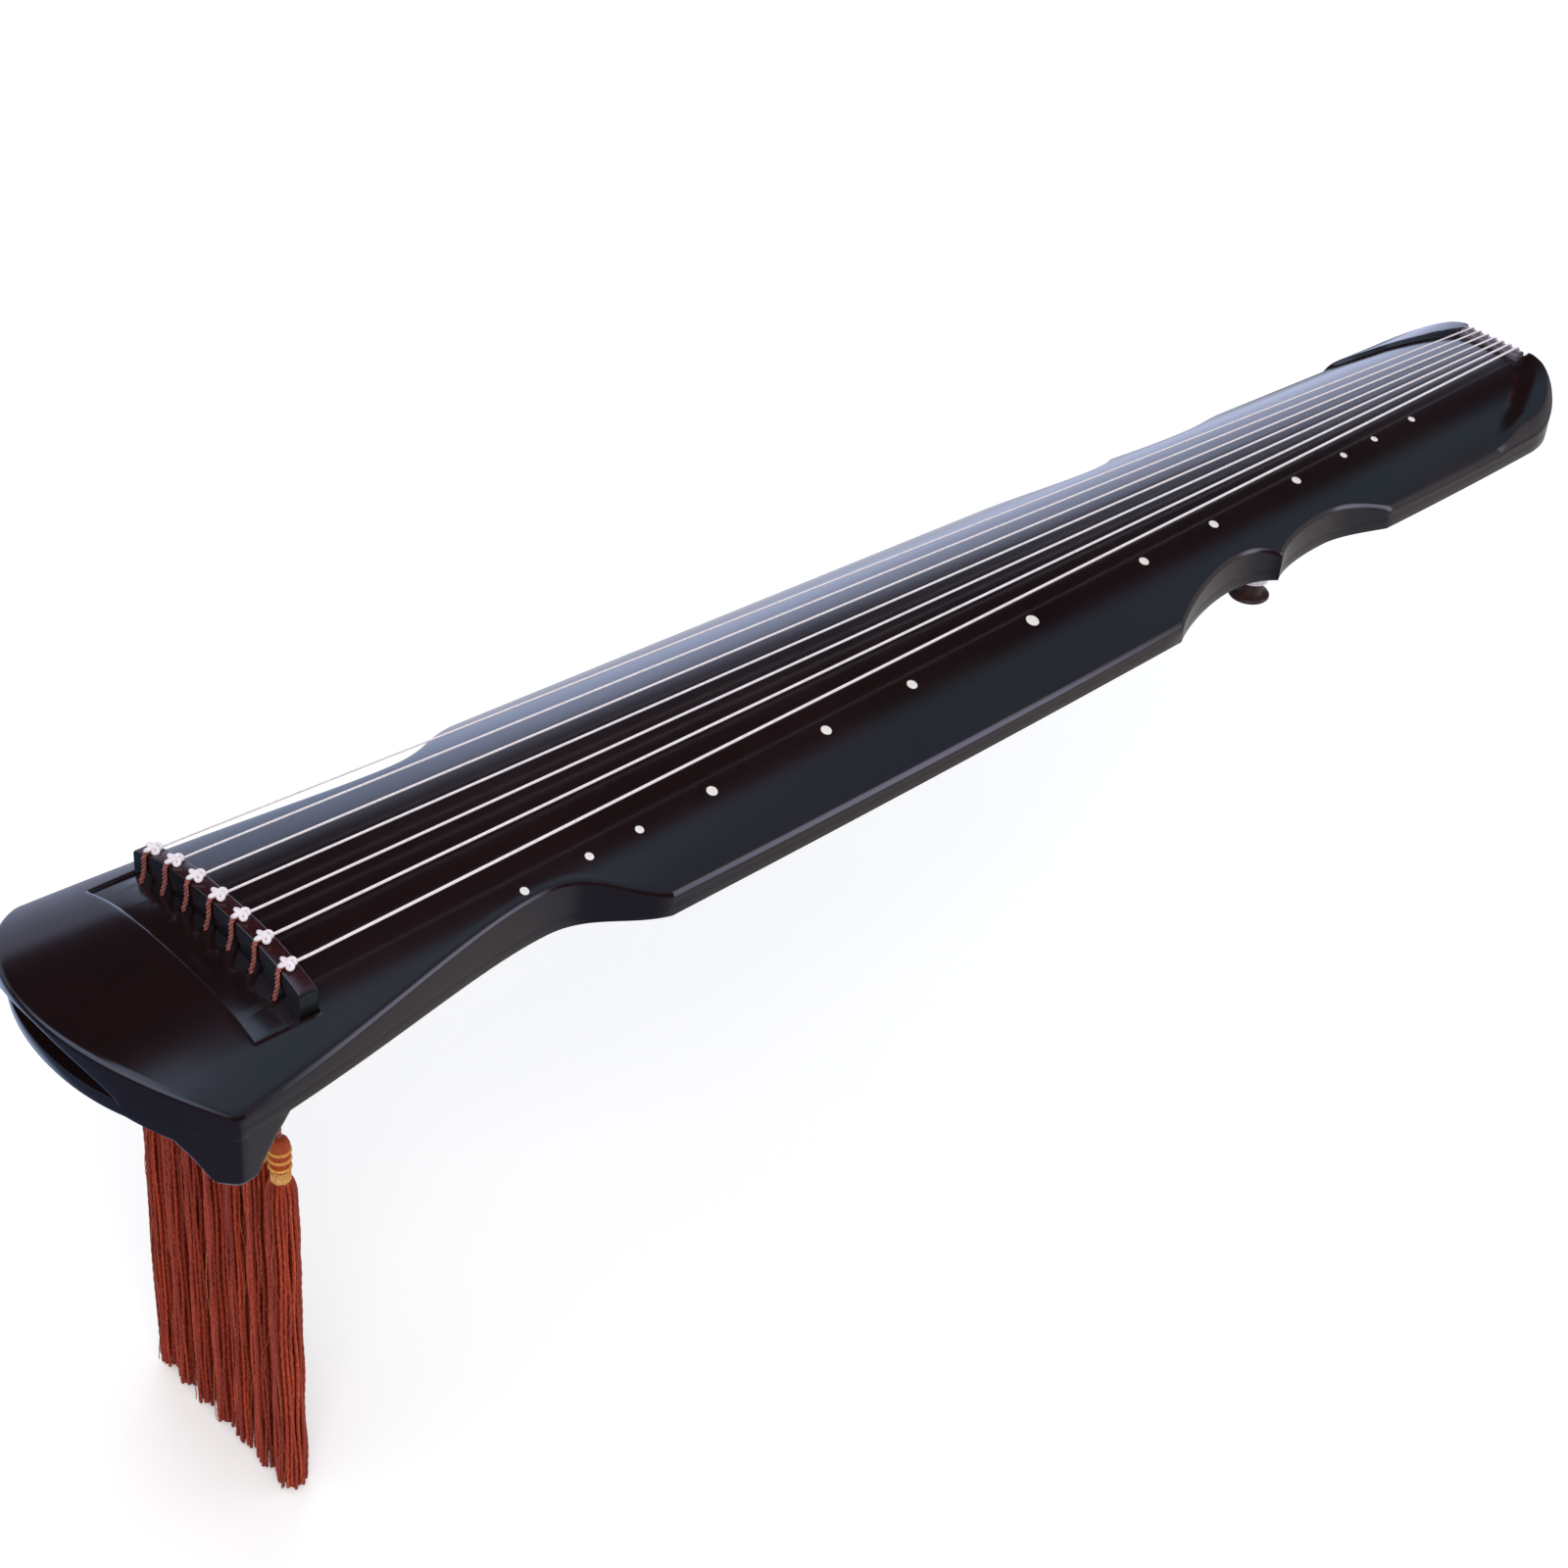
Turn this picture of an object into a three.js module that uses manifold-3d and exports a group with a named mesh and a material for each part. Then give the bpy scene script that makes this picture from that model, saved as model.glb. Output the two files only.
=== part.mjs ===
// A seven-string guqin, in millimetres. X runs from the head to the tail, Z is up, and
// the side at -Y is the near side, which carries the round inlays. The origin is on the
// centre line of the bottom board's underside, below the edge where the strings start.
import * as THREE from 'three';
import { mergeVertices } from 'three/addons/utils/BufferGeometryUtils.js';
import Module from 'manifold-3d';

const wasm = await Module();
wasm.setup();

// Lengths along the body: the head's and neck's from the bridge, the others from the tail
const stringLength = 1100;
const headLength = 116;
const headCornerSetback = 49;
const headCornerRounding = 4.5;
const neckLength = 150;
const shoulderRun = 64;
const firstScoopRun = 79;
const firstRiseRun = 33;
const secondScoopRun = 64;
const secondRiseRun = 53;
const tailSideRun = 173;
const tailCornerSetback = 57;
const tailTipReach = 14;

// Half widths of the body at those places
const headHalfWidth = 103;
const neckHalfWidth = 70.5;
const shoulderHalfWidth = 99;
const waistStartHalfWidth = 88;
const firstScoopHalfWidth = 67;
const waistCuspHalfWidth = 77.5;
const secondScoopHalfWidth = 66;
const waistEndHalfWidth = 79.5;
const tailHalfWidth = 76.5;
const tailTipHalfWidth = 34;

// How full the curve of the head's front is, as a share of the head's half width
const frontBulgeShare = 0.58;

// Handles of the curves between the places above, from the head's corner to the tail's tip:
// the first (along, across), then the second, as shares of the run and of the change in width
const sideHandleShares = [
  [0.46, 0.34, 0.78, 1],
  [0.45, 0, 0.62, 0.75],
  [0.33, 0.17, 0.67, 0.5],
  [0.16, 0.35, 0.62, 1],
  [0.4, 0, 0.73, 0.33],
  [0.17, 0.6, 0.56, 1],
  [0.35, 0, 0.75, 0.67],
  [0.33, 0, 0.67, 0.33],
  [0.6, 0, 1, 0.45],
];

// Heights of the body and its arch
const bottomThickness = 8;
const sideHeight = 14.5;
const archRise = 27.5;
const archPower = 2.6;
const headDrop = 4;
const frontInset = 7;

// Sound box
const roofThickness = 11;
const wallThickness = 14;
const cavityStart = 45;
const cavityEndMargin = 70;
const cavityStep = 40;
const cavityPower = 3;
const soundBumpHeight = 6;
const soundBumpMargin = 14;
const pondWidth = 24;
const pondCorner = 5;
const dragonPondLength = 200;
const phoenixPondLength = 90;
const postSize = 15;
const heavenPostLead = 80;
const dragonPondLead = 75;
const earthPostLead = 50;
const phoenixPondSetback = 16;

// Half-moon hollow in the front of the head
const moonHalfWidth = 57;
const moonHeight = 22;
const moonDepth = 17;

// Bridge, plate in front of it, and nut
const bridgeThickness = 11;
const bridgeHalfLength = 74;
const bridgeHeight = 13.8;
const bridgeSink = 3.5;
const plateWidth = 26;
const plateThickness = 5;
const plateRecess = 2;
const nutThickness = 10;
const nutHalfLength = 25;
const nutHeight = 4.7;
const nutSink = 10;
const nutRounding = 4;
const lowerNutHeight = 14;
const channelHalfWidth = 26;

// Raised corner plates at the tail
const crownLength = 108;
const crownHalfWidthAtBend = 54;
const crownBendSetback = 60;
const crownSink = 4;
const crownInnerRaise = 6.5;
const crownOuterRaise = 5.5;
const crownStartShare = 0.05;
const crownRisePower = 2;

// Handles of the two curves of a corner plate's inner edge, each as a share along and across
const crownHandleShares = [[0.31, 0.72], [0.88, 0.79]];

// Guards at the head's front corners
const guardDrop = 27;
const guardTipLength = 6;
const guardLength = 40;
const guardInnerHalfWidth = 66;
const guardTipHalfWidth = 96;
const guardFlareShare = 0.17;

// Strings and their knots
const bridgePitch = 19.9;
const nutPitch = 6.6;
const stringShift = 2;
const thickestString = 1.5;
const stringThinning = 0.1;
const knotLength = 7.5;
const knotWidth = 10;
const knotHeight = 5;
const loopDiameter = 2.6;

// Goose feet and the string ends wound on them
const footSetback = 10;
const footOffset = 50;
const footHeight = 29;
const footHalfWidth = 14;
const footWaistRadius = 9;
const footFlangeHeight = 2.4;
const footSoleHeight = 5;
const footTenonRadius = 5.5;
const windingTurns = 1.5;
const windingGap = 0.46;
const windingTopGap = 0.6;
const nearFootStrings = 4;

// Pegs, their pool in the bottom board, and the cord holes above them
const cordHoleAt = 15;
const cordHoleRadius = 1.7;
const poolHalfWidth = 12.5;
const poolHalfLength = 73;
const poolDepth = 3;
const pegLength = 36;
const pegTopRadius = 6.2;
const pegNeckRadius = 4.2;
const pegBodyRadius = 6.4;
const pegTipRadius = 4.8;
const pegTipLength = 12;
const pegNeckLength = 10;
const pegFlangeHeight = 2;
const pegChamfer = 1;
const pegFluteShare = 0.09;

// Tassels
const tasselLength = 290;
const tasselKnotRadius = 2.2;
const tasselCordRadius = 1.4;
const tasselCordLength = 24;
const tasselHeadLength = 8;
const tasselHeadRadius = 6.2;
const tasselWrapLength = 9;
const tasselWrapRadius = 5.4;
const tasselSkirtRadius = 8.8;
const tasselFluteShare = 0.08;
const knotSweepShare = 0.67;

// The skirt's radius and distance down it, as shares of its widest radius and its length
const skirtShares = [[0.8, 0.1], [0.94, 0.4], [1, 0.98], [0.97, 1], [0, 1]];

// Round inlays
const largestInlayDiameter = 9;
const middleInlayDiameter = 7;
const smallInlayDiameter = 5.4;
const inlayThickness = 1.2;
const inlaySocketDepth = 1.7;
const inlayLineAtBridge = 70.9;
const inlayLineAtNut = 27.1;

// Fits
const clearance = 0.3;
const overrun = 6;

// Counts
const stringCount = 7;
const curveSteps = 5;
const archSteps = 14;
const cavitySteps = 10;
const stationStep = 55;
const roundSides = 10;
const stringSides = 6;
const stepsPerTurn = 18;
const middleInlaysEachWay = 3;
const tasselWrapCount = 3;
const tasselKnotSteps = 3;

// Where the strings stop along the length, as shares of the string length from the bridge
const inlayShares = [
  1 / 8, 1 / 6, 1 / 5, 1 / 4, 1 / 3, 2 / 5, 1 / 2, 3 / 5, 2 / 3, 3 / 4, 4 / 5, 5 / 6, 7 / 8,
];
const inlayDiameters = inlayShares.map((_, index) => {
  const away = Math.abs(index - (inlayShares.length - 1) / 2);
  if (away === 0) return largestInlayDiameter;
  return away > middleInlaysEachWay ? smallInlayDiameter : middleInlayDiameter;
});

// Places along X that follow from the sizes above
const headCornerAt = headCornerSetback - headLength;
const shoulderAt = neckLength + shoulderRun;
const endFaceAt = stringLength + nutThickness;
const tailTipAt = stringLength + tailTipReach;
const tailCornerAt = tailTipAt - tailCornerSetback;
const waistEndAt = tailCornerAt - tailSideRun;
const secondScoopAt = waistEndAt - secondRiseRun;
const waistCuspAt = secondScoopAt - secondScoopRun;
const firstScoopAt = waistCuspAt - firstRiseRun;
const waistStartAt = firstScoopAt - firstScoopRun;
const phoenixPondStart = waistEndAt + phoenixPondSetback;
const earthPostAt = waistStartAt - earthPostLead;
const dragonPondStart = earthPostAt - dragonPondLead - dragonPondLength;
const heavenPostAt = dragonPondStart - heavenPostLead;
const footAt = waistCuspAt + footSetback;

const lacquer = new THREE.MeshStandardMaterial({ color: 0x17110f, roughness: 0.25 });
const ebony = new THREE.MeshStandardMaterial({ color: 0x101412, roughness: 0.35 });
const pearl = new THREE.MeshStandardMaterial({ color: 0xe9e6dd, roughness: 0.3 });
const silk = new THREE.MeshStandardMaterial({ color: 0xe6e1dc, roughness: 0.5 });
const loopSilk = new THREE.MeshStandardMaterial({ color: 0x8a4a44, roughness: 0.8 });
const tasselSilk = new THREE.MeshStandardMaterial({ color: 0x8c2f1a, roughness: 0.85 });
const darkWood = new THREE.MeshStandardMaterial({ color: 0x3a2119, roughness: 0.45 });
const paleWood = new THREE.MeshStandardMaterial({ color: 0xb88c58, roughness: 0.7 });

const guqin = new THREE.Group();

function addPiece(name, geometry, material) {
  const mesh = new THREE.Mesh(geometry, material);
  mesh.name = name;
  guqin.add(mesh);
  return mesh;
}

// Turns a closed geometry into a solid that can be cut and joined
function solidOf(geometry) {
  const bare = geometry.clone();
  bare.deleteAttribute('normal');
  bare.deleteAttribute('uv');
  const merged = mergeVertices(bare);
  return new wasm.Manifold(new wasm.Mesh({
    numProp: 3,
    vertProperties: Float32Array.from(merged.attributes.position.array),
    triVerts: Uint32Array.from(merged.index.array),
  }));
}

function geometryOf(solid) {
  const mesh = solid.getMesh();
  const geometry = new THREE.BufferGeometry();
  geometry.setAttribute('position', new THREE.BufferAttribute(mesh.vertProperties, 3));
  geometry.setIndex(new THREE.BufferAttribute(mesh.triVerts, 1));
  geometry.computeVertexNormals();
  return geometry;
}

// Joins rings of points into a closed skin; each ring is seen whole from its first point
function loft(rings) {
  const count = rings[0].length;
  const positions = rings.flat().flatMap((point) => [point.x, point.y, point.z]);
  const faces = [];
  for (let ring = 0; ring < rings.length - 1; ring++) {
    for (let i = 0; i < count; i++) {
      const here = ring * count + i;
      const next = ring * count + (i + 1) % count;
      faces.push(here, next, next + count, here, next + count, here + count);
    }
  }
  const last = (rings.length - 1) * count;
  for (let i = 1; i < count - 1; i++) {
    faces.push(0, i + 1, i);
    faces.push(last, last + i, last + i + 1);
  }
  const geometry = new THREE.BufferGeometry();
  geometry.setAttribute('position', new THREE.Float32BufferAttribute(positions, 3));
  geometry.setIndex(faces);
  geometry.computeVertexNormals();
  return geometry;
}

// A tube through given points, kept from twisting along the way; each ring has a half width
// and a half height of its own
function tube(points, sizes, sides) {
  const tangents = points.map((point, index) => {
    const before = points[Math.max(index - 1, 0)];
    const after = points[Math.min(index + 1, points.length - 1)];
    return after.clone().sub(before).normalize();
  });
  const normal = new THREE.Vector3(0, 0, 1);
  if (Math.abs(tangents[0].z) > Math.SQRT1_2) normal.set(1, 0, 0);
  const rings = points.map((point, index) => {
    normal.addScaledVector(tangents[index], -normal.dot(tangents[index])).normalize();
    const side = tangents[index].clone().cross(normal);
    return Array.from({ length: sides }, (_, k) => {
      const angle = (2 * Math.PI * k) / sides;
      return point.clone()
        .addScaledVector(normal, sizes[index].high * Math.cos(angle))
        .addScaledVector(side, sizes[index].wide * Math.sin(angle));
    });
  });
  return loft(rings);
}

// A flat shape in plan, made solid between two heights
function planPrism(shape, bottom, top) {
  const options = { depth: top - bottom, bevelEnabled: false, curveSegments: curveSteps };
  return solidOf(new THREE.ExtrudeGeometry(shape, options).translate(0, 0, bottom));
}

// A shape drawn with (x, z), made solid across the whole width
function sidePrism(shape, halfWidth) {
  const options = { depth: 2 * halfWidth, bevelEnabled: false, curveSegments: curveSteps };
  const geometry = new THREE.ExtrudeGeometry(shape, options);
  return solidOf(geometry.rotateX(Math.PI / 2).translate(0, halfWidth, 0));
}

// A shape drawn with (y, z), made solid from one place along X to another
function crossPrism(shape, start, end) {
  const options = { depth: end - start, bevelEnabled: false, curveSegments: curveSteps };
  const geometry = new THREE.ExtrudeGeometry(shape, options);
  return solidOf(geometry.rotateY(Math.PI / 2).rotateX(Math.PI / 2).translate(start, 0, 0));
}

function rectangle(left, right, low, high) {
  const shape = new THREE.Shape();
  shape.moveTo(left, low);
  shape.lineTo(right, low);
  shape.lineTo(right, high);
  shape.lineTo(left, high);
  shape.closePath();
  return shape;
}

function roundedRectangle(left, right, halfWidth, corner) {
  const shape = new THREE.Shape();
  shape.moveTo(left + corner, -halfWidth);
  shape.lineTo(right - corner, -halfWidth);
  shape.quadraticCurveTo(right, -halfWidth, right, corner - halfWidth);
  shape.lineTo(right, halfWidth - corner);
  shape.quadraticCurveTo(right, halfWidth, right - corner, halfWidth);
  shape.lineTo(left + corner, halfWidth);
  shape.quadraticCurveTo(left, halfWidth, left, halfWidth - corner);
  shape.lineTo(left, corner - halfWidth);
  shape.quadraticCurveTo(left, -halfWidth, left + corner, -halfWidth);
  return shape;
}

function uprightCylinder(radius, bottom, top, x, y) {
  const geometry = new THREE.CylinderGeometry(radius, radius, top - bottom, roundSides);
  return solidOf(geometry.rotateX(Math.PI / 2).translate(x, y, (bottom + top) / 2));
}

// Places along the side where the outline's curves meet
const sidePlaces = [
  [headCornerAt, headHalfWidth],
  [neckLength, neckHalfWidth],
  [shoulderAt, shoulderHalfWidth],
  [waistStartAt, waistStartHalfWidth],
  [firstScoopAt, firstScoopHalfWidth],
  [waistCuspAt, waistCuspHalfWidth],
  [secondScoopAt, secondScoopHalfWidth],
  [waistEndAt, waistEndHalfWidth],
  [tailCornerAt, tailHalfWidth],
  [tailTipAt, tailTipHalfWidth],
].map(([x, y]) => new THREE.Vector2(x, y));

// A point between two others, with a share of its own along each axis
function between(from, to, alongShare, acrossShare) {
  const { lerp } = THREE.MathUtils;
  return new THREE.Vector2(lerp(from.x, to.x, alongShare), lerp(from.y, to.y, acrossShare));
}

// Half of the body's plan outline, from the middle of the head's front to the tail's channel
function halfOutline(inset) {
  const corner = sidePlaces[0];
  const bulge = new THREE.Vector2(inset - headLength, frontBulgeShare * headHalfWidth);
  const neckHandle = between(corner, sidePlaces[1], ...sideHandleShares[0]);
  const beforeCorner = bulge.clone().sub(corner).setLength(headCornerRounding).add(corner);
  const afterCorner = neckHandle.clone().sub(corner).setLength(headCornerRounding).add(corner);
  const path = new THREE.Path();
  path.moveTo(inset - headLength, 0);
  path.quadraticCurveTo(bulge.x, bulge.y, beforeCorner.x, beforeCorner.y);
  path.quadraticCurveTo(corner.x, corner.y, afterCorner.x, afterCorner.y);
  sideHandleShares.forEach(([along, across, nextAlong, nextAcross], i) => {
    const [from, to] = [sidePlaces[i], sidePlaces[i + 1]];
    const first = between(from, to, along, across);
    const second = between(from, to, nextAlong, nextAcross);
    path.bezierCurveTo(first.x, first.y, second.x, second.y, to.x, to.y);
  });
  const tipMiddle = (tailTipAt + endFaceAt) / 2;
  path.quadraticCurveTo(tailTipAt, channelHalfWidth, tipMiddle, channelHalfWidth);
  path.lineTo(endFaceAt, channelHalfWidth);
  return path.getPoints(curveSteps);
}

function outlineShape(inset) {
  const half = halfOutline(inset);
  const mirrored = half.slice(1).reverse().map((point) => new THREE.Vector2(point.x, -point.y));
  return new THREE.Shape([...mirrored, ...half]);
}

const sidePoints = halfOutline(0).filter((point) => point.x > headCornerAt && point.y > channelHalfWidth);

// Half width of the notched outline at a place along X
function outlineHalfWidthAt(x) {
  const next = sidePoints.findIndex((point) => point.x >= x);
  if (next < 0) return tailTipHalfWidth;
  if (next === 0) return sidePoints[0].y;
  const [a, b] = [sidePoints[next - 1], sidePoints[next]];
  return THREE.MathUtils.mapLinear(x, a.x, b.x, a.y, b.y);
}

// Half width that the arch spans, as if the notches were not cut
function archHalfWidthAt(x) {
  const { clamp, mapLinear } = THREE.MathUtils;
  const place = clamp(x, headCornerAt, tailCornerAt);
  if (place < shoulderAt) {
    return mapLinear(place, headCornerAt, shoulderAt, headHalfWidth, shoulderHalfWidth);
  }
  return mapLinear(place, shoulderAt, tailCornerAt, shoulderHalfWidth, tailHalfWidth);
}

// Height of the lacquered top surface
function topHeight(x, y) {
  const rise = archRise - headDrop * Math.max(0, -x / headLength) ** 2;
  return sideHeight + rise * (1 - Math.abs(y / archHalfWidthAt(x)) ** archPower);
}

// Evenly spaced places from start to end, no further apart than the step
function stations(start, end, step) {
  const count = Math.ceil((end - start) / step);
  return Array.from({ length: count + 1 }, (_, i) => start + ((end - start) * i) / count);
}

// Spreads shares from -1 to 1 so that they lie closer together towards both ends
const crowded = (share) => (share * (3 - share ** 2)) / 2;

// A solid between two height functions, over a half width that may change along X
function slab(places, halfWidthAt, lowHeight, highHeight, steps) {
  const rings = places.map((x) => {
    const half = halfWidthAt(x);
    const across = Array.from({ length: steps + 1 }, (_, i) => half * crowded((2 * i) / steps - 1));
    const low = across.map((y) => new THREE.Vector3(x, y, lowHeight(x, y)));
    const high = across.map((y) => new THREE.Vector3(x, y, highHeight(x, y))).reverse();
    const middle = steps / 2;
    return [...low.slice(middle), ...high, ...low.slice(0, middle)];
  });
  return solidOf(loft(rings));
}

// The two sound holes in the bottom board, as places and lengths along X
const ponds = [[dragonPondStart, dragonPondLength], [phoenixPondStart, phoenixPondLength]];

const outline = outlineShape(0);
const bottomOutline = outlineShape(frontInset);
const blankStart = -headLength - overrun;
const blankEnd = tailTipAt + overrun;
const pieceTop = sideHeight + archRise + overrun;
const surfaceStations = stations(blankStart, blankEnd, stationStep);
const spanWithOverrun = (x) => archHalfWidthAt(x) + overrun;

// A bar or pocket that follows the arch between two offsets from the surface
function archedBar(start, end, halfLength, lowOffset, highOffset) {
  const low = (x, y) => topHeight(x, y) + lowOffset;
  const high = (x, y) => topHeight(x, y) + highOffset;
  return slab([start, end], () => halfLength, low, high, archSteps);
}

// The lumps under the roof that face the sound holes
function soundBump(x, y) {
  return ponds.reduce((lump, [start, length]) => {
    const along = (x - start - length / 2) / (length / 2 + soundBumpMargin);
    const across = y / (pondWidth / 2 + soundBumpMargin);
    return lump + soundBumpHeight * Math.max(0, 1 - along ** 2) * Math.max(0, 1 - across ** 2);
  }, 0);
}

function cavityHalfWidthAt(x) {
  const nearby = [-cavityStep, -cavityStep / 2, 0, cavityStep / 2, cavityStep];
  return Math.min(...nearby.map((shift) => outlineHalfWidthAt(x + shift))) - wallThickness;
}

function roofHeight(x, y) {
  const clear = topHeight(x, 0) - roofThickness - bottomThickness;
  const share = 1 - Math.abs(y / cavityHalfWidthAt(x)) ** cavityPower;
  return bottomThickness + Math.max(0, clear * share - soundBump(x, y));
}

function stringY(index, pitch) {
  return (index - (stringCount - 1) / 2) * pitch;
}

const pegY = (index) => stringY(index, bridgePitch) + stringShift;

// Round inlays, each square to the surface where it lies
function inlayFrame(index) {
  const share = inlayShares[index];
  const x = share * stringLength;
  const y = -THREE.MathUtils.lerp(inlayLineAtBridge, inlayLineAtNut, share);
  const slope = (topHeight(x, y + clearance) - topHeight(x, y - clearance)) / (2 * clearance);
  return { x, y, z: topHeight(x, y), tilt: Math.atan(slope) };
}

function inlayDisc(index, radius, bottom, top) {
  const { x, y, z, tilt } = inlayFrame(index);
  const disc = new THREE.CylinderGeometry(radius, radius, top - bottom, roundSides);
  disc.rotateX(Math.PI / 2).translate(0, 0, (top + bottom) / 2);
  return disc.rotateX(tilt).translate(x, y, z);
}

// What lies outside a corner plate's inner edge, moved inwards by a shift
function crownInner(side, shift) {
  const start = endFaceAt - crownLength - shift;
  const places = [
    new THREE.Vector2(start, archHalfWidthAt(start) - shift),
    new THREE.Vector2(endFaceAt - crownBendSetback - shift, crownHalfWidthAtBend - shift),
    new THREE.Vector2(stringLength - clearance - shift, nutHalfLength + 2 * clearance - shift),
  ];
  const shape = new THREE.Shape();
  shape.moveTo(start, side * headHalfWidth);
  shape.lineTo(start, side * places[0].y);
  crownHandleShares.forEach((shares, i) => {
    const handle = between(places[i], places[i + 1], ...shares);
    shape.quadraticCurveTo(handle.x, side * handle.y, places[i + 1].x, side * places[i + 1].y);
  });
  shape.lineTo(blankEnd, side * places[2].y);
  shape.lineTo(blankEnd, side * headHalfWidth);
  shape.closePath();
  return shape;
}

// How far a corner plate stands above the arch, more towards the tail and its outer edge
function crownRaise(x, y) {
  const start = endFaceAt - crownLength;
  const reached = Math.max(0, (x - start) / (tailTipAt - start)) ** crownRisePower;
  const along = THREE.MathUtils.lerp(crownStartShare, 1, reached);
  const across = (Math.abs(y) - channelHalfWidth) / (tailHalfWidth - channelHalfWidth);
  const outwards = THREE.MathUtils.clamp(across, 0, 1);
  return along * THREE.MathUtils.lerp(crownInnerRaise, crownOuterRaise, outwards);
}

const crownPlaces = stations(endFaceAt - crownLength - overrun, blankEnd, stationStep / 2);

function crownCorner(side) {
  const low = (x, y) => topHeight(x, y) - crownSink;
  const high = (x, y) => topHeight(x, y) + crownRaise(x, y);
  const skin = slab(crownPlaces, spanWithOverrun, low, high, archSteps);
  return skin.intersect(planPrism(crownInner(side, 0), 0, 2 * pieceTop))
    .intersect(planPrism(outline, 0, 2 * pieceTop));
}

function crownPocket(side) {
  const low = (x, y) => topHeight(x, y) - crownSink - clearance;
  const skin = slab(crownPlaces, spanWithOverrun, low, () => pieceTop, archSteps);
  return skin.intersect(planPrism(crownInner(side, clearance), 0, 2 * pieceTop));
}

// The half-moon hollow, seen from the front
function moonHollow() {
  const shape = new THREE.Shape();
  shape.moveTo(-moonHalfWidth, bottomThickness - overrun);
  shape.lineTo(moonHalfWidth, bottomThickness - overrun);
  shape.lineTo(moonHalfWidth, bottomThickness);
  shape.bezierCurveTo(
    moonHalfWidth / 2, bottomThickness + moonHeight,
    moonHalfWidth / 3, bottomThickness + moonHeight,
    0, bottomThickness + moonHeight,
  );
  shape.bezierCurveTo(
    -moonHalfWidth / 3, bottomThickness + moonHeight,
    -moonHalfWidth / 2, bottomThickness + moonHeight,
    -moonHalfWidth, bottomThickness,
  );
  shape.closePath();
  return crossPrism(shape, blankStart, moonDepth - headLength);
}

const plateStart = -bridgeThickness - clearance - plateWidth;
const plateUnderside = -plateRecess - plateThickness;
const nutTop = topHeight(stringLength, 0) + nutHeight;
const nutBottom = topHeight(stringLength, 0) - nutSink;
const bridgeTopAt = (y) => topHeight(-bridgeThickness / 2, y) + bridgeHeight;

const cutFrom = (body, cuts) => cuts.reduce((left, cut) => left.subtract(cut), body);

const cordHoles = () => Array.from({ length: stringCount }, (_, i) => (
  uprightCylinder(cordHoleRadius, 0, pieceTop, -cordHoleAt, pegY(i))));

// The seat of a nut in the tail's end face, between two heights
function nutSeat(low, high) {
  const reach = nutHalfLength + clearance;
  return crossPrism(rectangle(-reach, reach, low, high), stringLength - clearance, blankEnd);
}

function topBoard() {
  const blank = slab(surfaceStations, spanWithOverrun, () => bottomThickness, topHeight, archSteps);
  const below = bottomThickness - overrun;
  const cavityPlaces = stations(cavityStart, stringLength - cavityEndMargin, cavityStep);
  const reach = bridgeHalfLength + clearance;
  const bridgeStart = -bridgeThickness - clearance;
  return cutFrom(blank.intersect(planPrism(outline, below, pieceTop)), [
    slab(cavityPlaces, cavityHalfWidthAt, () => below, roofHeight, cavitySteps),
    moonHollow(),
    archedBar(bridgeStart, clearance, reach, -bridgeSink - clearance, bridgeHeight),
    archedBar(plateStart - clearance, -bridgeThickness, reach, plateUnderside - clearance, bridgeHeight),
    nutSeat(nutBottom - clearance, pieceTop),
    nutSeat(0, lowerNutHeight + clearance),
    crownPocket(-1),
    crownPocket(1),
    ...cordHoles(),
    ...inlayShares.map((_, i) => (
      solidOf(inlayDisc(i, inlayDiameters[i] / 2 + clearance, -inlaySocketDepth, overrun)))),
  ]);
}

// A rectangle round the cord holes, drawn in from the pool's edge by a gap
function poolShape(gap) {
  const [across, along] = [poolHalfWidth - gap, poolHalfLength - gap];
  return rectangle(-cordHoleAt - across, across - cordHoleAt, -along, along);
}

function bottomBoard() {
  const top = bottomThickness + overrun;
  return cutFrom(planPrism(bottomOutline, 0, bottomThickness), [
    planPrism(poolShape(0), -overrun, top),
    nutSeat(-overrun, lowerNutHeight),
    ...ponds.map(([start, length]) => planPrism(
      roundedRectangle(start, start + length, pondWidth / 2, pondCorner), -overrun, top)),
    ...[-1, 1].map((side) => uprightCylinder(
      footTenonRadius + clearance, -overrun, top, footAt, side * footOffset)),
  ]);
}

function bridge() {
  return archedBar(-bridgeThickness, 0, bridgeHalfLength, -bridgeSink, bridgeHeight);
}

function pegHolePlate() {
  const end = plateStart + plateWidth;
  return cutFrom(archedBar(plateStart, end, bridgeHalfLength, plateUnderside, -plateRecess), cordHoles());
}

function pegPoolBoard() {
  return cutFrom(planPrism(poolShape(clearance), poolDepth, bottomThickness), cordHoles());
}

// The saddle at the tail, rounded where the strings turn down
function nut() {
  const shape = new THREE.Shape();
  shape.moveTo(stringLength, nutBottom);
  shape.lineTo(endFaceAt, nutBottom);
  shape.lineTo(endFaceAt, nutTop - nutRounding);
  shape.quadraticCurveTo(endFaceAt, nutTop, endFaceAt - nutRounding, nutTop);
  shape.lineTo(stringLength, nutTop);
  shape.closePath();
  return sidePrism(shape, nutHalfLength);
}

function lowerNut() {
  const shape = new THREE.Shape();
  shape.moveTo(stringLength, 0);
  shape.lineTo(endFaceAt - nutRounding, 0);
  shape.quadraticCurveTo(endFaceAt, 0, endFaceAt, nutRounding);
  shape.lineTo(endFaceAt, lowerNutHeight);
  shape.lineTo(stringLength, lowerNutHeight);
  shape.closePath();
  return sidePrism(shape, nutHalfLength);
}

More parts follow.
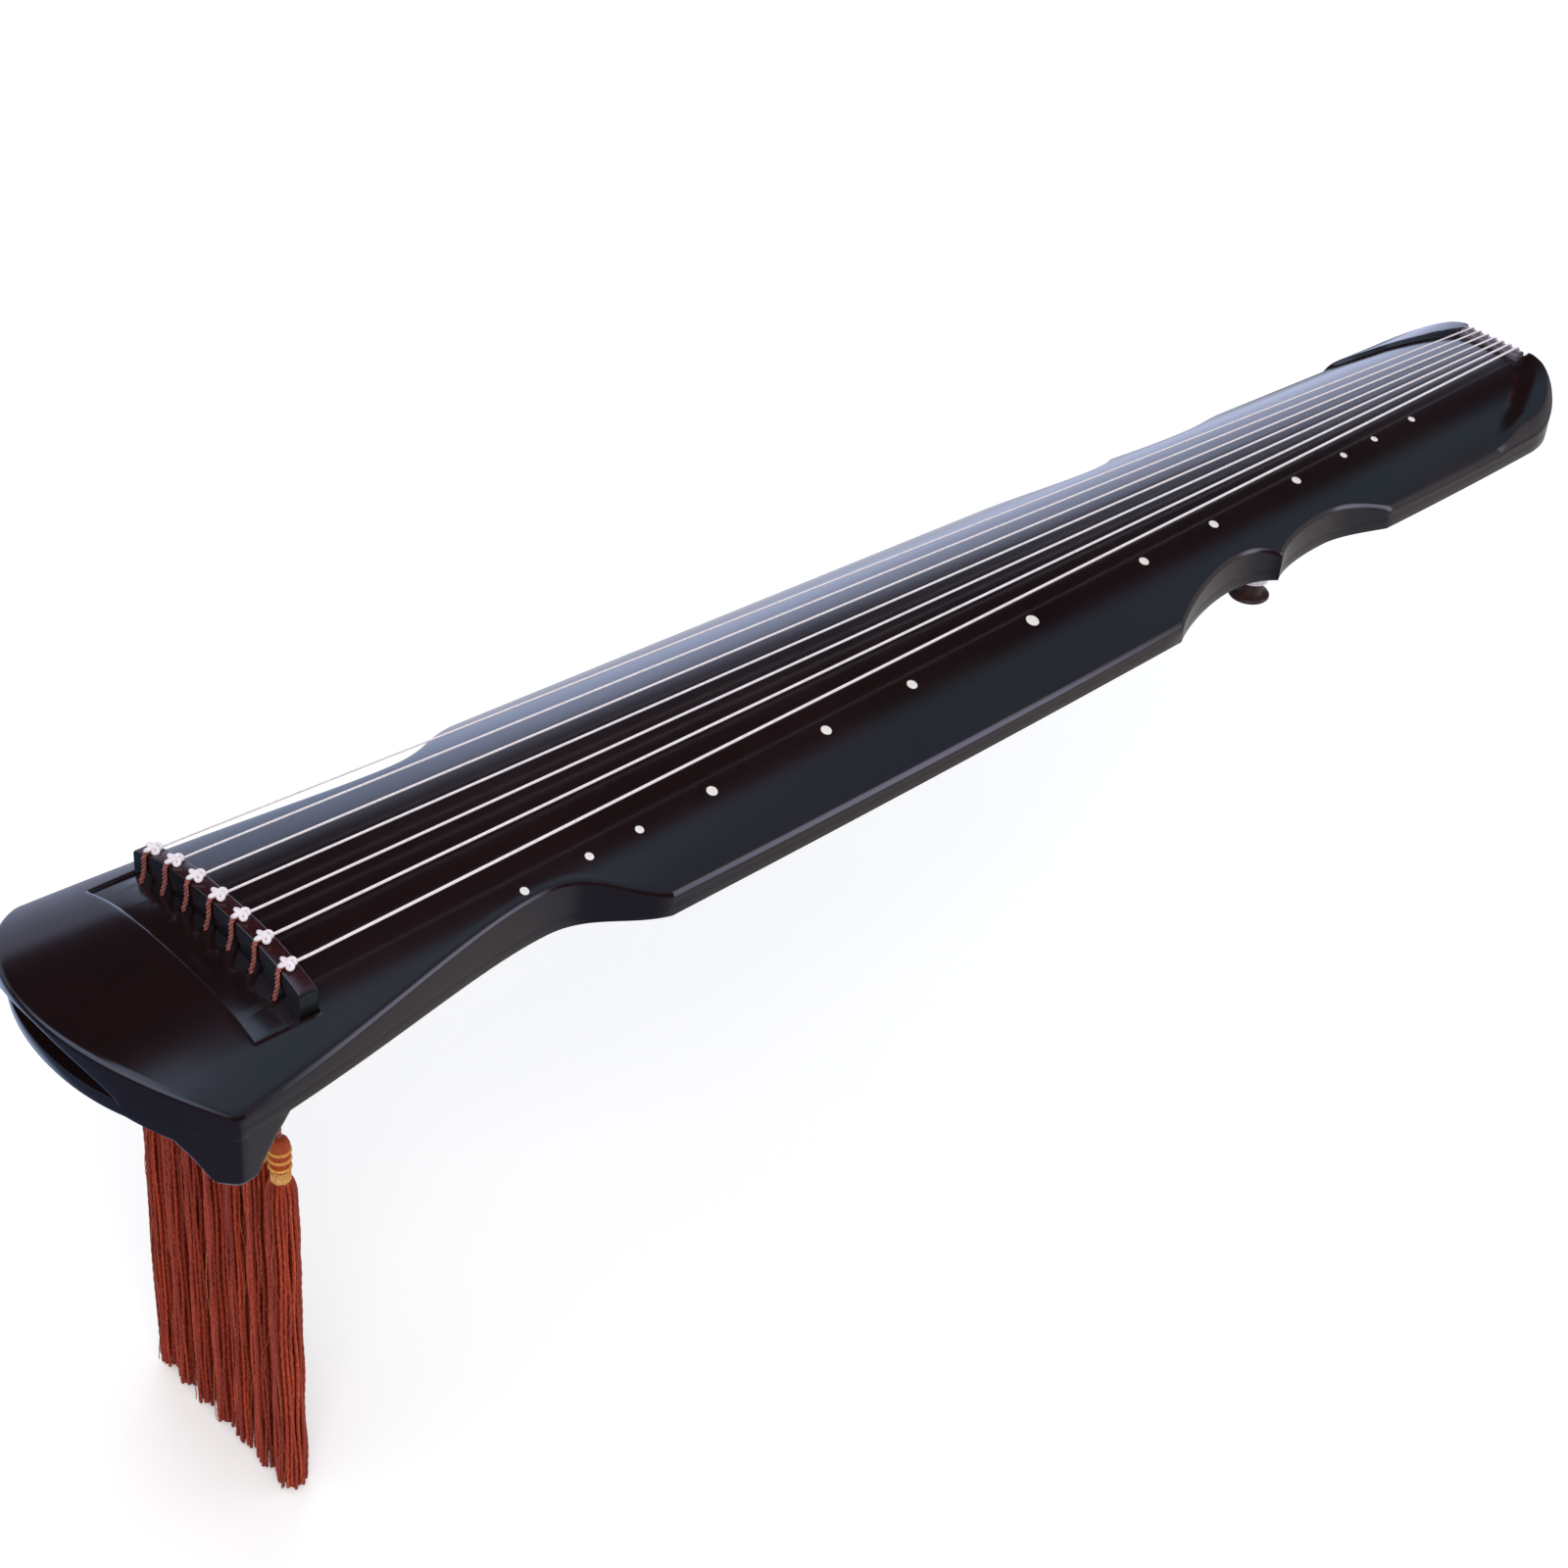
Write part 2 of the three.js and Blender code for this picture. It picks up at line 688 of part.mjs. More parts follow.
// A guard keeps the head's own outline and is cut away in side view and in front view
function pegGuard(side) {
  const profile = new THREE.Shape();
  const tip = headCornerAt + guardTipLength;
  const heel = headCornerAt + guardLength;
  const reach = headHalfWidth + overrun;
  profile.moveTo(blankStart, 0);
  profile.lineTo(blankStart, -guardDrop);
  profile.lineTo(tip - guardTipLength / 2, -guardDrop);
  profile.quadraticCurveTo(tip + guardTipLength / 2, -guardDrop, (tip + heel) / 2, -guardDrop / 2);
  profile.quadraticCurveTo(heel - guardTipLength, -guardFlareShare * guardDrop, heel, 0);
  profile.closePath();
  const front = new THREE.Shape();
  front.moveTo(side * guardInnerHalfWidth, 0);
  front.quadraticCurveTo(
    side * guardTipHalfWidth, -guardFlareShare * guardDrop,
    side * guardTipHalfWidth, -guardDrop,
  );
  front.lineTo(side * reach, -guardDrop);
  front.lineTo(side * reach, 0);
  front.closePath();
  return planPrism(bottomOutline, -guardDrop, 0)
    .intersect(sidePrism(profile, reach))
    .intersect(crossPrism(front, blankStart, heel + overrun));
}

// A turned profile of (radius, height) points; flutes draw every other side in a little
function turned(profile, sides, fluteShare) {
  const points = profile.map(([radius, height]) => new THREE.Vector2(radius, height));
  const geometry = new THREE.LatheGeometry(points, sides).rotateX(Math.PI / 2);
  const position = geometry.attributes.position;
  for (let i = 0; i < position.count; i++) {
    const fluted = Math.floor(i / points.length) % 2 === 1;
    const drawn = fluted ? 1 - fluteShare : 1;
    position.setX(i, position.getX(i) * drawn);
    position.setY(i, position.getY(i) * drawn);
  }
  return solidOf(geometry);
}

function gooseFoot() {
  const neckEnd = footSoleHeight + footFlangeHeight;
  return turned([
    [0, -footHeight],
    [footHalfWidth, -footHeight],
    [footHalfWidth, footFlangeHeight - footHeight],
    [footWaistRadius, footSoleHeight - footHeight],
    [footWaistRadius, -footFlangeHeight],
    [footHalfWidth, -footFlangeHeight / 2],
    [footHalfWidth, 0],
    [footTenonRadius, 0],
    [footTenonRadius, neckEnd],
    [0, neckEnd],
  ], 2 * roundSides, 0);
}

const pegTop = poolDepth - clearance;
const pegBottom = pegTop - pegLength;

// A bored peg: flange at the top, neck, and a fluted grip that narrows towards its end
function peg() {
  const bore = cordHoleRadius;
  const neckStart = pegTop - pegFlangeHeight - pegChamfer;
  const gripStart = pegTop - pegFlangeHeight - pegNeckLength;
  return turned([
    [bore, pegBottom],
    [pegTipRadius, pegBottom],
    [pegTipRadius + pegChamfer, pegBottom + pegChamfer],
    [pegBodyRadius, pegBottom + pegTipLength],
    [pegBodyRadius, gripStart - pegChamfer],
    [pegNeckRadius, gripStart],
    [pegNeckRadius, neckStart],
    [pegTopRadius, pegTop - pegFlangeHeight],
    [pegTopRadius, pegTop],
    [bore, pegTop],
    [bore, pegBottom],
  ], roundSides, pegFluteShare);
}

const tasselPivot = pegBottom - clearance - tasselKnotRadius;

// A tassel: knot, cord, bound head with its wraps, and a fluted skirt
function tassel() {
  const headTop = tasselPivot - tasselCordLength;
  const wrapTop = headTop - tasselHeadLength;
  const wrapStep = tasselWrapLength / (2 * tasselWrapCount);
  const skirtTop = wrapTop - tasselWrapLength;
  const skirtLength = skirtTop - tasselPivot + tasselLength;
  const profile = Array.from({ length: tasselKnotSteps + 1 }, (_, i) => {
    const angle = (knotSweepShare * Math.PI * i) / tasselKnotSteps;
    const height = tasselPivot + tasselKnotRadius * Math.cos(angle);
    return [tasselKnotRadius * Math.sin(angle), height];
  });
  profile.push([tasselCordRadius, tasselPivot - tasselKnotRadius]);
  profile.push([tasselCordRadius, headTop]);
  profile.push([tasselHeadRadius, headTop - tasselHeadLength / 2]);
  profile.push([tasselWrapRadius, wrapTop]);
  for (let wrap = 0; wrap < tasselWrapCount; wrap++) {
    const start = wrapTop - 2 * wrap * wrapStep;
    profile.push([tasselWrapRadius + wrapStep / 3, start - wrapStep]);
    profile.push([tasselWrapRadius, start - 2 * wrapStep]);
  }
  skirtShares.forEach(([wide, down]) => {
    profile.push([wide * tasselSkirtRadius, skirtTop - down * skirtLength]);
  });
  return turned(profile.reverse(), roundSides, tasselFluteShare);
}

const stringRadius = (index) => (thickestString - stringThinning * index) / 2;

// Share of the knot's length, then of its half width, at each ring of its two lobes
const knotShares = [
  [-0.5, 0.3], [-0.4, 0.8], [-0.22, 1], [-0.02, 0.6], [0.18, 1], [0.36, 0.85], [0.46, 0.35],
];

const windingPitch = (index) => 2 * stringRadius(index) + windingGap;
const bandHeight = (index) => windingTurns * windingPitch(index) + 2 * stringRadius(index);

// The turns of a string round its goose foot, below those of the strings before it
function windings(index, from) {
  const side = index < nearFootStrings ? -1 : 1;
  const first = index < nearFootStrings ? 0 : nearFootStrings;
  const above = Array.from({ length: index - first }, (_, i) => bandHeight(first + i));
  const drop = above.reduce((sum, band) => sum + band + windingGap, 0);
  const centre = new THREE.Vector3(footAt, side * footOffset, 0);
  const radius = footWaistRadius + clearance + stringRadius(0);
  const away = from.clone().sub(centre).setZ(0);
  const start = Math.atan2(away.y, away.x) - side * Math.acos(radius / away.length());
  const top = -footFlangeHeight - windingTopGap - stringRadius(index) - drop;
  const fall = windingTurns * windingPitch(index);
  const steps = Math.round(stepsPerTurn * windingTurns);
  return Array.from({ length: steps + 1 }, (_, i) => {
    const angle = start - (side * 2 * Math.PI * windingTurns * i) / steps;
    return new THREE.Vector3(
      centre.x + radius * Math.cos(angle),
      centre.y + radius * Math.sin(angle),
      top - (fall * i) / steps,
    );
  });
}

// A string's route from its knot on the bridge, over the nut and round its goose foot
function stringRoute(index) {
  const radius = stringRadius(index);
  const lift = radius + clearance;
  const y = stringY(index, nutPitch);
  const crest = bridgeTopAt(pegY(index)) + clearance;
  const knot = knotShares.map(([along, size]) => {
    const height = crest + Math.max(radius, (size * knotHeight) / 2);
    return new THREE.Vector3(knotLength * along - bridgeThickness / 2, pegY(index), height);
  });
  const underside = new THREE.Vector3(endFaceAt - 2 * nutRounding, y, -lift);
  const route = [
    new THREE.Vector3(0, pegY(index), crest + radius),
    new THREE.Vector3(endFaceAt - nutRounding, y, nutTop + lift),
    new THREE.Vector3(endFaceAt + lift / 2, y, nutTop + lift / 2),
    new THREE.Vector3(endFaceAt + lift, y, nutTop - nutRounding),
    new THREE.Vector3(endFaceAt + lift, y, nutRounding),
    new THREE.Vector3(endFaceAt + lift / 2, y, -lift / 2),
    new THREE.Vector3(endFaceAt - nutRounding, y, -lift),
    underside,
  ];
  return [...knot, ...route, ...windings(index, underside)];
}

function stringPiece(index) {
  const radius = stringRadius(index);
  const sizes = stringRoute(index).map((_, i) => {
    const size = i < knotShares.length ? knotShares[i][1] : 0;
    return {
      wide: Math.max(radius, (size * knotWidth) / 2),
      high: Math.max(radius, (size * knotHeight) / 2),
    };
  });
  return solidOf(tube(stringRoute(index), sizes, stringSides));
}

// The loop runs from under the knot, down the bridge's face and through the head to its peg
function tuningLoop(index) {
  const y = pegY(index);
  const radius = loopDiameter / 2;
  const face = -bridgeThickness - clearance - radius;
  const crest = bridgeTopAt(y);
  const bend = (radius + clearance) * Math.SQRT1_2;
  const route = [
    new THREE.Vector3(-bridgeThickness / 2 - knotLength / 2 - radius, y, crest + clearance + radius),
    new THREE.Vector3(-bridgeThickness, y, crest + clearance + radius),
    new THREE.Vector3(-bridgeThickness - bend, y, crest + bend),
    new THREE.Vector3(face, y, crest),
    new THREE.Vector3(face - radius, y, crest - bridgeHeight / 2),
    new THREE.Vector3(-cordHoleAt, y, topHeight(-cordHoleAt, y) + radius),
    new THREE.Vector3(-cordHoleAt, y, topHeight(-cordHoleAt, y) - 2 * radius),
    new THREE.Vector3(-cordHoleAt, y, pegTop + clearance),
  ];
  return solidOf(tube(route, route.map(() => ({ wide: radius, high: radius })), stringSides));
}

// The least distance between two stretches of one string's turns, less its thickness
function leastTurnGap(index) {
  const points = stringRoute(index).slice(knotShares.length);
  let least = Infinity;
  points.forEach((a, i) => points.slice(i + stepsPerTurn / 2).forEach((b) => {
    least = Math.min(least, a.distanceTo(b));
  }));
  return least - 2 * stringRadius(index);
}

const postTop = (x) => roofHeight(x, postSize / 2) - clearance;

addPiece('top_board', geometryOf(topBoard()), lacquer);
addPiece('bottom_board', geometryOf(bottomBoard()), lacquer);
addPiece('heaven_post', geometryOf(
  uprightCylinder(postSize / 2, bottomThickness, postTop(heavenPostAt), heavenPostAt, 0)), paleWood);
addPiece('earth_post', geometryOf(planPrism(
  rectangle(earthPostAt - postSize / 2, earthPostAt + postSize / 2, -postSize / 2, postSize / 2),
  bottomThickness, postTop(earthPostAt))), paleWood);
addPiece('bridge', geometryOf(bridge()), ebony);
addPiece('peg_hole_plate', geometryOf(pegHolePlate()), ebony);
addPiece('peg_pool_board', geometryOf(pegPoolBoard()), lacquer);
addPiece('nut', geometryOf(nut()), ebony);
addPiece('lower_nut', geometryOf(lowerNut()), ebony);
for (const [label, side] of [['near', -1], ['far', 1]]) {
  addPiece(`crown_corner_${label}`, geometryOf(crownCorner(side)), lacquer);
  addPiece(`peg_guard_${label}`, geometryOf(pegGuard(side)), lacquer);
  const foot = addPiece(`goose_foot_${label}`, geometryOf(gooseFoot()), darkWood);
  foot.position.set(footAt, side * footOffset, 0);
}
inlayShares.forEach((_, i) => {
  const disc = solidOf(inlayDisc(i, inlayDiameters[i] / 2, -inlayThickness, 0));
  addPiece(`inlay_${String(i + 1).padStart(2, '0')}`, geometryOf(disc), pearl);
});
const pegGeometry = geometryOf(peg());
const tasselGeometry = geometryOf(tassel());
for (let i = 0; i < stringCount; i++) {
  addPiece(`string_${i + 1}`, geometryOf(stringPiece(i)), silk);
  addPiece(`tuning_loop_${i + 1}`, geometryOf(tuningLoop(i)), loopSilk);
  addPiece(`peg_${i + 1}`, pegGeometry, darkWood).position.set(-cordHoleAt, pegY(i), 0);
  addPiece(`tassel_${i + 1}`, tasselGeometry, tasselSilk).position.set(-cordHoleAt, pegY(i), 0);
}
const gaps = Array.from({ length: stringCount }, (_, i) => leastTurnGap(i));
console.log(`least gap between a string's turns: ${Math.min(...gaps).toFixed(2)} mm`);

export default guqin;
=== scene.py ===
"""A seven-string guqin in black lacquer, seen from its head, with silk tassels under its pegs."""

from math import acos, atan2, cos, pi, radians, sin, sqrt, tau

import bmesh
import bpy
import numpy as np
from mathutils import Matrix, Vector


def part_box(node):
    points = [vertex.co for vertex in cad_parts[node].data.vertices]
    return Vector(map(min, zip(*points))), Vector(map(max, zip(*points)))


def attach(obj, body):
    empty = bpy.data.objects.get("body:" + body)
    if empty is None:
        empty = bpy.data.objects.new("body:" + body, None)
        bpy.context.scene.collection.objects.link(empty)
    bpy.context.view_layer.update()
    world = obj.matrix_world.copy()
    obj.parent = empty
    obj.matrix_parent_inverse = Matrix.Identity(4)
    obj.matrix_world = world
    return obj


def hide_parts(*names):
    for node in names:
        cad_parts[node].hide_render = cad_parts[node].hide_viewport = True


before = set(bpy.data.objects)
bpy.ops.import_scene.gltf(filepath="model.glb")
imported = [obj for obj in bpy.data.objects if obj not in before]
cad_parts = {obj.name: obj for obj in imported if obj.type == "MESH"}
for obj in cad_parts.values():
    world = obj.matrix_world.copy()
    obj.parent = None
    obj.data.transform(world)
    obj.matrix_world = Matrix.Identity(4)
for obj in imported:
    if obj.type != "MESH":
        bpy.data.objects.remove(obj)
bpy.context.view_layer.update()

MM = 0.001
SIDES = {"near": -1, "far": 1}
STRING_COUNT = 7


def new_object(name, data):
    obj = bpy.data.objects.new(name, data)
    bpy.context.scene.collection.objects.link(obj)
    return obj


# Camera

CAMERA_PLACE = Vector((-0.6037, -0.9544, 0.9451))
CAMERA_TARGET = Vector((0.346, -0.0466, 0))
CAMERA_ROLL = radians(5.43)
CAMERA_LENS = 64.03


def turned_towards(place, target, roll=0):
    """The matrix of something at a place that looks at a target."""
    back = (place - target).normalized()
    right = Vector((0, 0, 1)).cross(back).normalized()
    turn = Matrix((right, back.cross(right), back)).transposed() @ Matrix.Rotation(roll, 3, "Z")
    return Matrix.Translation(place) @ turn.to_4x4()


def add_camera():
    data = bpy.data.cameras.new("camera")
    data.lens, data.sensor_width = CAMERA_LENS, 36
    data.clip_start, data.clip_end = 0.05, 50
    camera = new_object("camera", data)
    camera.matrix_world = turned_towards(CAMERA_PLACE, CAMERA_TARGET, CAMERA_ROLL)
    bpy.context.scene.camera = camera


# Sizes, in millimetres

STRING_LENGTH = 1100
HEAD_LENGTH = 116
HEAD_CORNER_AT = -67
HEAD_CORNER_ROUNDING = 4.5
FRONT_BULGE_SHARE = 0.58
FRONT_INSET = 7
TAIL_TIP_REACH = 14
CHANNEL_HALF_WIDTH = 26

# Where the outline's curves meet, as (place along, half width)
SIDE_PLACES = [
    (HEAD_CORNER_AT, 103), (150, 70.5), (214, 99), (655, 88), (734, 67),
    (767, 77.5), (831, 66), (884, 79.5), (1057, 76.5), (STRING_LENGTH + TAIL_TIP_REACH, 34)]

# The two handles of each curve between them, as shares of the run and of the change in width
SIDE_HANDLE_SHARES = [
    (0.46, 0.34, 0.78, 1), (0.45, 0, 0.62, 0.75), (0.33, 0.17, 0.67, 0.5),
    (0.16, 0.35, 0.62, 1), (0.4, 0, 0.73, 0.33), (0.17, 0.6, 0.56, 1),
    (0.35, 0, 0.75, 0.67), (0.33, 0, 0.67, 0.33), (0.6, 0, 1, 0.45)]
CURVE_STEPS = 24

BASE_THICKNESS = 8
SIDE_HEIGHT = 14.5
ARCH_RISE, ARCH_POWER = 27.5, 2.6
HEAD_DROP = 4
EDGE_ROUNDING = 3

ROOF_THICKNESS = 11
WALL_THICKNESS = 14
CAVITY = (45, 1030)
CAVITY_STEP, CAVITY_POWER = 40, 3
SOUND_BUMP_HEIGHT, SOUND_BUMP_MARGIN = 6, 14
POND_WIDTH, POND_CORNER = 24, 5
PONDS = [(330, 200), (900, 90)]
MOON_HALF_WIDTH, MOON_HEIGHT, MOON_DEPTH = 57, 24.5, 17
MOON_LIP, MOON_BACK_SLOPE, MOON_POWERS = 2, 3, (1.7, 0.62)

BRIDGE_THICKNESS, BRIDGE_HALF_LENGTH, BRIDGE_HEIGHT = 11, 74, 13.8
BRIDGE_SINK, BRIDGE_ROUNDING = 3.5, 1.3
# How far down from the bridge's top its dark red colour reaches
RED_TOP_DEPTH = 0.6
PLATE_WIDTH, PLATE_THICKNESS, PLATE_RECESS = 26, 5, 2
NUT_THICKNESS, NUT_HALF_LENGTH, NUT_HEIGHT, NUT_SINK = 10, 25, 4.7, 10
NUT_ROUNDING, NUT_FRONT = 4, 4
LOWER_NUT_HEIGHT = 14

CROWN_LENGTH = 108
CROWN_HALF_WIDTH_AT_BEND, CROWN_BEND_SETBACK = 54, 60
CROWN_SINK = 4
CROWN_INNER_RAISE, CROWN_OUTER_RAISE = 6.5, 5.5
CROWN_NOSE, CROWN_ROUNDING = 12, 8
CROWN_START_SHARE, CROWN_RISE_POWER = 0.05, 2
CROWN_SOFT_EDGE = {"near": 18, "far": 5}
CROWN_WEAR, CROWN_WEAR_WIDTH = {"near": 0.6, "far": 0}, 5
CROWN_HANDLE_SHARES = [(0.31, 0.72), (0.88, 0.79)]
CROWN_RIM = np.array([0, 0.1, 0.35, 0.8, 1.5, 2.4])
CROWN_NARROW, CROWN_THINNEST = 8, 0.5
CROWN_ROUNDED = (40, 60)
CROWN_ROWS, CROWN_COLUMNS = 80, 30

# The guard's front edge as (distance from the middle, height), and its back edge as (place, height)
GUARD_FRONT = [
    (42, 0), (52, -1.7), (62, -3.4), (71.7, -5.4), (76.5, -9.4), (81.3, -13.9), (85.7, -19.6), (90, -26),
    (93.5, -29.3), (97.5, -30.5)]
GUARD_BACK = [(-27, 0), (-35.8, -5.9), (-43.4, -13.1), (-50.9, -21.8), (-55.5, -28), (-60, -30.5)]
GUARD_DROP = 30.5
GUARD_TIP_ROUNDING = 3
GUARD_OVERLAP = 1.5
GUARD_OUTER_STEPS, GUARD_INNER_STEPS, GUARD_CURVE_STEPS = 40, 24, 48
GUARD_LEVELS, GUARD_TIP_LEVELS, GUARD_OUTLINE_POINTS = 28, 8, 200
GUARD_SMOOTHINGS, GUARD_SMOOTH_REACH = 12, 9

BRIDGE_PITCH, NUT_PITCH = 19.9, 6.6
STRING_SHIFT = 2
THICKEST_STRING, STRING_THINNING = 1.7, 0.08
STRING_LIFT = 0.15
KNOT_SPAN, KNOT_CORD_RADIUS, KNOT_INSET = 11, 1.15, 1.1
KNOT_WAIST, KNOT_LOBE_POWER, KNOT_TURN = 0.36, 1.2, 0.2
KNOT_SETBACK, KNOT_LIFT, KNOT_WAVE, KNOT_HEART_LIFT = 0.8, 2.4, 0.9, 2.3
LOOP_DIAMETER = 2.8

FOOT_AT, FOOT_OFFSET = 777, 50
FOOT_HEIGHT, FOOT_HALF_WIDTH, FOOT_WAIST_RADIUS, FOOT_FLANGE_HEIGHT = 29, 14, 9, 2.4
FOOT_TENON_RADIUS, FOOT_TENON_LENGTH = 5.5, 7
WINDING_TURNS, WINDING_SPARE, WINDING_GAP, LAYER_GAP = 2.5, 0.5, 0.25, 0.1
WINDING_DROP, WINDING_STEPS = 0.9, 36
NEAR_FOOT_STRINGS = 4

CORD_HOLE_AT, CORD_HOLE_RADIUS = 15, 1.7
POOL_HALF_WIDTH, POOL_HALF_LENGTH, POOL_DEPTH = 12.5, 73, 3

PEG_LENGTH = 36
TASSEL_LENGTH, TASSEL_KNOT_REACH = 290, 2.2
FLOOR_GAP = 1
CLEARANCE = 0.3

END_FACE_AT = STRING_LENGTH + NUT_THICKNESS
TAIL_TIP_AT = STRING_LENGTH + TAIL_TIP_REACH
PLATE_START = -BRIDGE_THICKNESS - CLEARANCE - PLATE_WIDTH
BRIDGE_MIDDLE = -BRIDGE_THICKNESS / 2
KNOT_AT = BRIDGE_MIDDLE - KNOT_SETBACK
PEG_TOP = POOL_DEPTH - CLEARANCE
PEG_BOTTOM = PEG_TOP - PEG_LENGTH
TASSEL_PIVOT = PEG_BOTTOM - CLEARANCE - TASSEL_KNOT_REACH
FLOOR_HEIGHT = TASSEL_PIVOT - TASSEL_LENGTH - FLOOR_GAP

INLAY_SHARES = [1 / 8, 1 / 6, 1 / 5, 1 / 4, 1 / 3, 2 / 5, 1 / 2, 3 / 5, 2 / 3, 3 / 4, 4 / 5, 5 / 6, 7 / 8]
INLAY_LINE = (70.9, 27.1)

# Distances from the outline and from the plate's seat at which the lacquered skin has points
EDGE_STEPS = np.array([0, 0.1, 0.35, 0.8, 1.4, 2.1, 3, 6])
LIP_STEPS = np.array([-0.02, 0.02, 0.5, 1.1, 1.8, 2.5, 3.2])


# Lines and the body's shape

def placed(x, y, z):
    """Points from their coordinates, some of which may be one number for all."""
    return np.stack(np.broadcast_arrays(x, y, z), -1)


def round_axis(place, radius, angles, height):
    """Points round an upright axis."""
    return placed(place[0] + radius * np.cos(angles), place[1] + radius * np.sin(angles), height)


def bezier(points, steps=CURVE_STEPS):
    """Points along a curve from its control points, without the first."""
    points = [np.array(p, float) for p in points]
    shares = np.linspace(0, 1, steps + 1)[1:, None]
    while len(points) > 1:
        points = [a + (b - a) * shares for a, b in zip(points, points[1:])]
    return points[0]


def resampled(line, shares):
    """Points at shares of a line's length."""
    line = np.asarray(line, float)
    length = np.concatenate([[0], np.cumsum(np.linalg.norm(np.diff(line, axis=0), axis=1))])
    return np.stack([np.interp(shares * length[-1], length, values) for values in line.T], 1)


def smooth_line(points, steps=8):
    """A rounded line through points, with each stretch eased into the next."""
    points = np.asarray(points, float)
    before = np.vstack([2 * points[0] - points[1], points[:-1]])
    after = np.vstack([points[1:], 2 * points[-1] - points[-2]])
    slopes = (after - before) / 2
    t = np.linspace(0, 1, steps, endpoint=False)[:, None]
    line = [(2 * t ** 3 - 3 * t ** 2 + 1) * start + (t ** 3 - 2 * t ** 2 + t) * out_slope
            + (3 * t ** 2 - 2 * t ** 3) * end + (t ** 3 - t ** 2) * in_slope
            for start, end, out_slope, in_slope in zip(points, points[1:], slopes, slopes[1:])]
    return np.vstack(line + [points[-1:]])


def between(start, end, along, across):
    """A point between two others, with a share of its own along each axis."""
    (x0, y0), (x1, y1) = start, end
    return x0 + (x1 - x0) * along, y0 + (y1 - y0) * across


def half_outline(inset=0, steps=CURVE_STEPS):
    """Half of the plan outline, from the middle of the head's front to the tail's channel."""
    corner = np.array(SIDE_PLACES[0], float)
    front = (inset - HEAD_LENGTH, 0)
    bulge = np.array([front[0], FRONT_BULGE_SHARE * corner[1]])
    neck_handle = np.array(between(*SIDE_PLACES[:2], *SIDE_HANDLE_SHARES[0][:2]))
    towards = [(point - corner) / np.linalg.norm(point - corner) for point in (bulge, neck_handle)]
    before, here = [corner + HEAD_CORNER_ROUNDING * step for step in towards]
    curves = [[front, bulge, before], [before, corner, here]]
    for start, end, (a, b, c, d) in zip(SIDE_PLACES, SIDE_PLACES[1:], SIDE_HANDLE_SHARES):
        curves.append([here, between(start, end, a, b), between(start, end, c, d), end])
        here = end
    tip_middle = ((TAIL_TIP_AT + END_FACE_AT) / 2, CHANNEL_HALF_WIDTH)
    curves.append([here, (TAIL_TIP_AT, CHANNEL_HALF_WIDTH), tip_middle])
    curves.append([tip_middle, (END_FACE_AT, CHANNEL_HALF_WIDTH)])
    return np.vstack([[front]] + [bezier(curve, steps) for curve in curves])


OUTLINE = half_outline()
HEAD_SPLIT = CURVE_STEPS + CURVE_STEPS // 2
TAIL_SPLIT = CURVE_STEPS * 10 + 15
FRONT_LINE, SIDE_LINE, END_LINE = (
    OUTLINE[:HEAD_SPLIT + 1], OUTLINE[HEAD_SPLIT:TAIL_SPLIT + 1], OUTLINE[TAIL_SPLIT:][::-1])


def whole_line(half):
    """Both halves of an outline as one line of points."""
    return np.vstack([half[::-1] * [1, -1], half[1:]])


def half_width_at(x):
    return np.interp(x, SIDE_LINE[:, 0], SIDE_LINE[:, 1])


def arch_half_width_at(x):
    return np.interp(x, *zip(SIDE_PLACES[0], SIDE_PLACES[2], SIDE_PLACES[8]))


def top_height(x, y):
    """Height of the lacquered top before its edges are rounded."""
    rise = ARCH_RISE - HEAD_DROP * np.maximum(0, -np.asarray(x) / HEAD_LENGTH) ** 2
    return SIDE_HEIGHT + rise * (1 - np.abs(np.asarray(y) / arch_half_width_at(x)) ** ARCH_POWER)


NUT_TOP = float(top_height(STRING_LENGTH, 0)) + NUT_HEIGHT
NUT_BOTTOM = float(top_height(STRING_LENGTH, 0)) - NUT_SINK


def bridge_top_at(y):
    return float(top_height(BRIDGE_MIDDLE, y)) + BRIDGE_HEIGHT


def soft_step(value, low, high):
    share = np.clip((value - low) / (high - low), 0, 1)
    return share * share * (3 - 2 * share)


def rounded_drop(distance, radius):
    """How far a rounded edge lies below the sharp one at a distance from it."""
    inside = np.clip(radius - distance, 0, radius)
    return radius - np.sqrt(radius ** 2 - inside ** 2)


def distance_to_line(points, line):
    """The distance of each point of a grid to a line of points, in plan."""
    start, step = line[:-1], np.diff(line, axis=0)
    length = np.maximum((step ** 2).sum(1), 1e-12)
    result = []
    for chunk in np.array_split(points.reshape(-1, 2), max(1, points.size // 4000)):
        away = chunk[:, None] - start
        share = np.clip((away * step).sum(2) / length, 0, 1)[..., None]
        result.append(np.sqrt(((away - share * step) ** 2).sum(2).min(1)))
    return np.concatenate(result).reshape(points.shape[:-1])


# Meshes

def mesh_piece(name, points, faces, sharp=radians(32)):
    """A smooth mesh from points in millimetres, with the edges sharper than an angle kept."""
    mesh = bpy.data.meshes.new(name)
    mesh.from_pydata([tuple(p) for p in np.asarray(points, float) * MM], [], [tuple(f) for f in faces])
    mesh.validate()
    mesh.shade_smooth()
    mesh.set_sharp_from_angle(angle=sharp)
    return new_object(name, mesh)


def grid_faces(rows, columns, start=0, closed=False):
    """Faces of a grid of points, wound anticlockwise with rows to the right and columns up."""
    faces = []
    for row in range(rows - 1):
        for column in range(columns if closed else columns - 1):
            here, beside = start + row * columns + column, start + row * columns + (column + 1) % columns
            faces.append((here, here + columns, beside + columns, beside))
    return faces


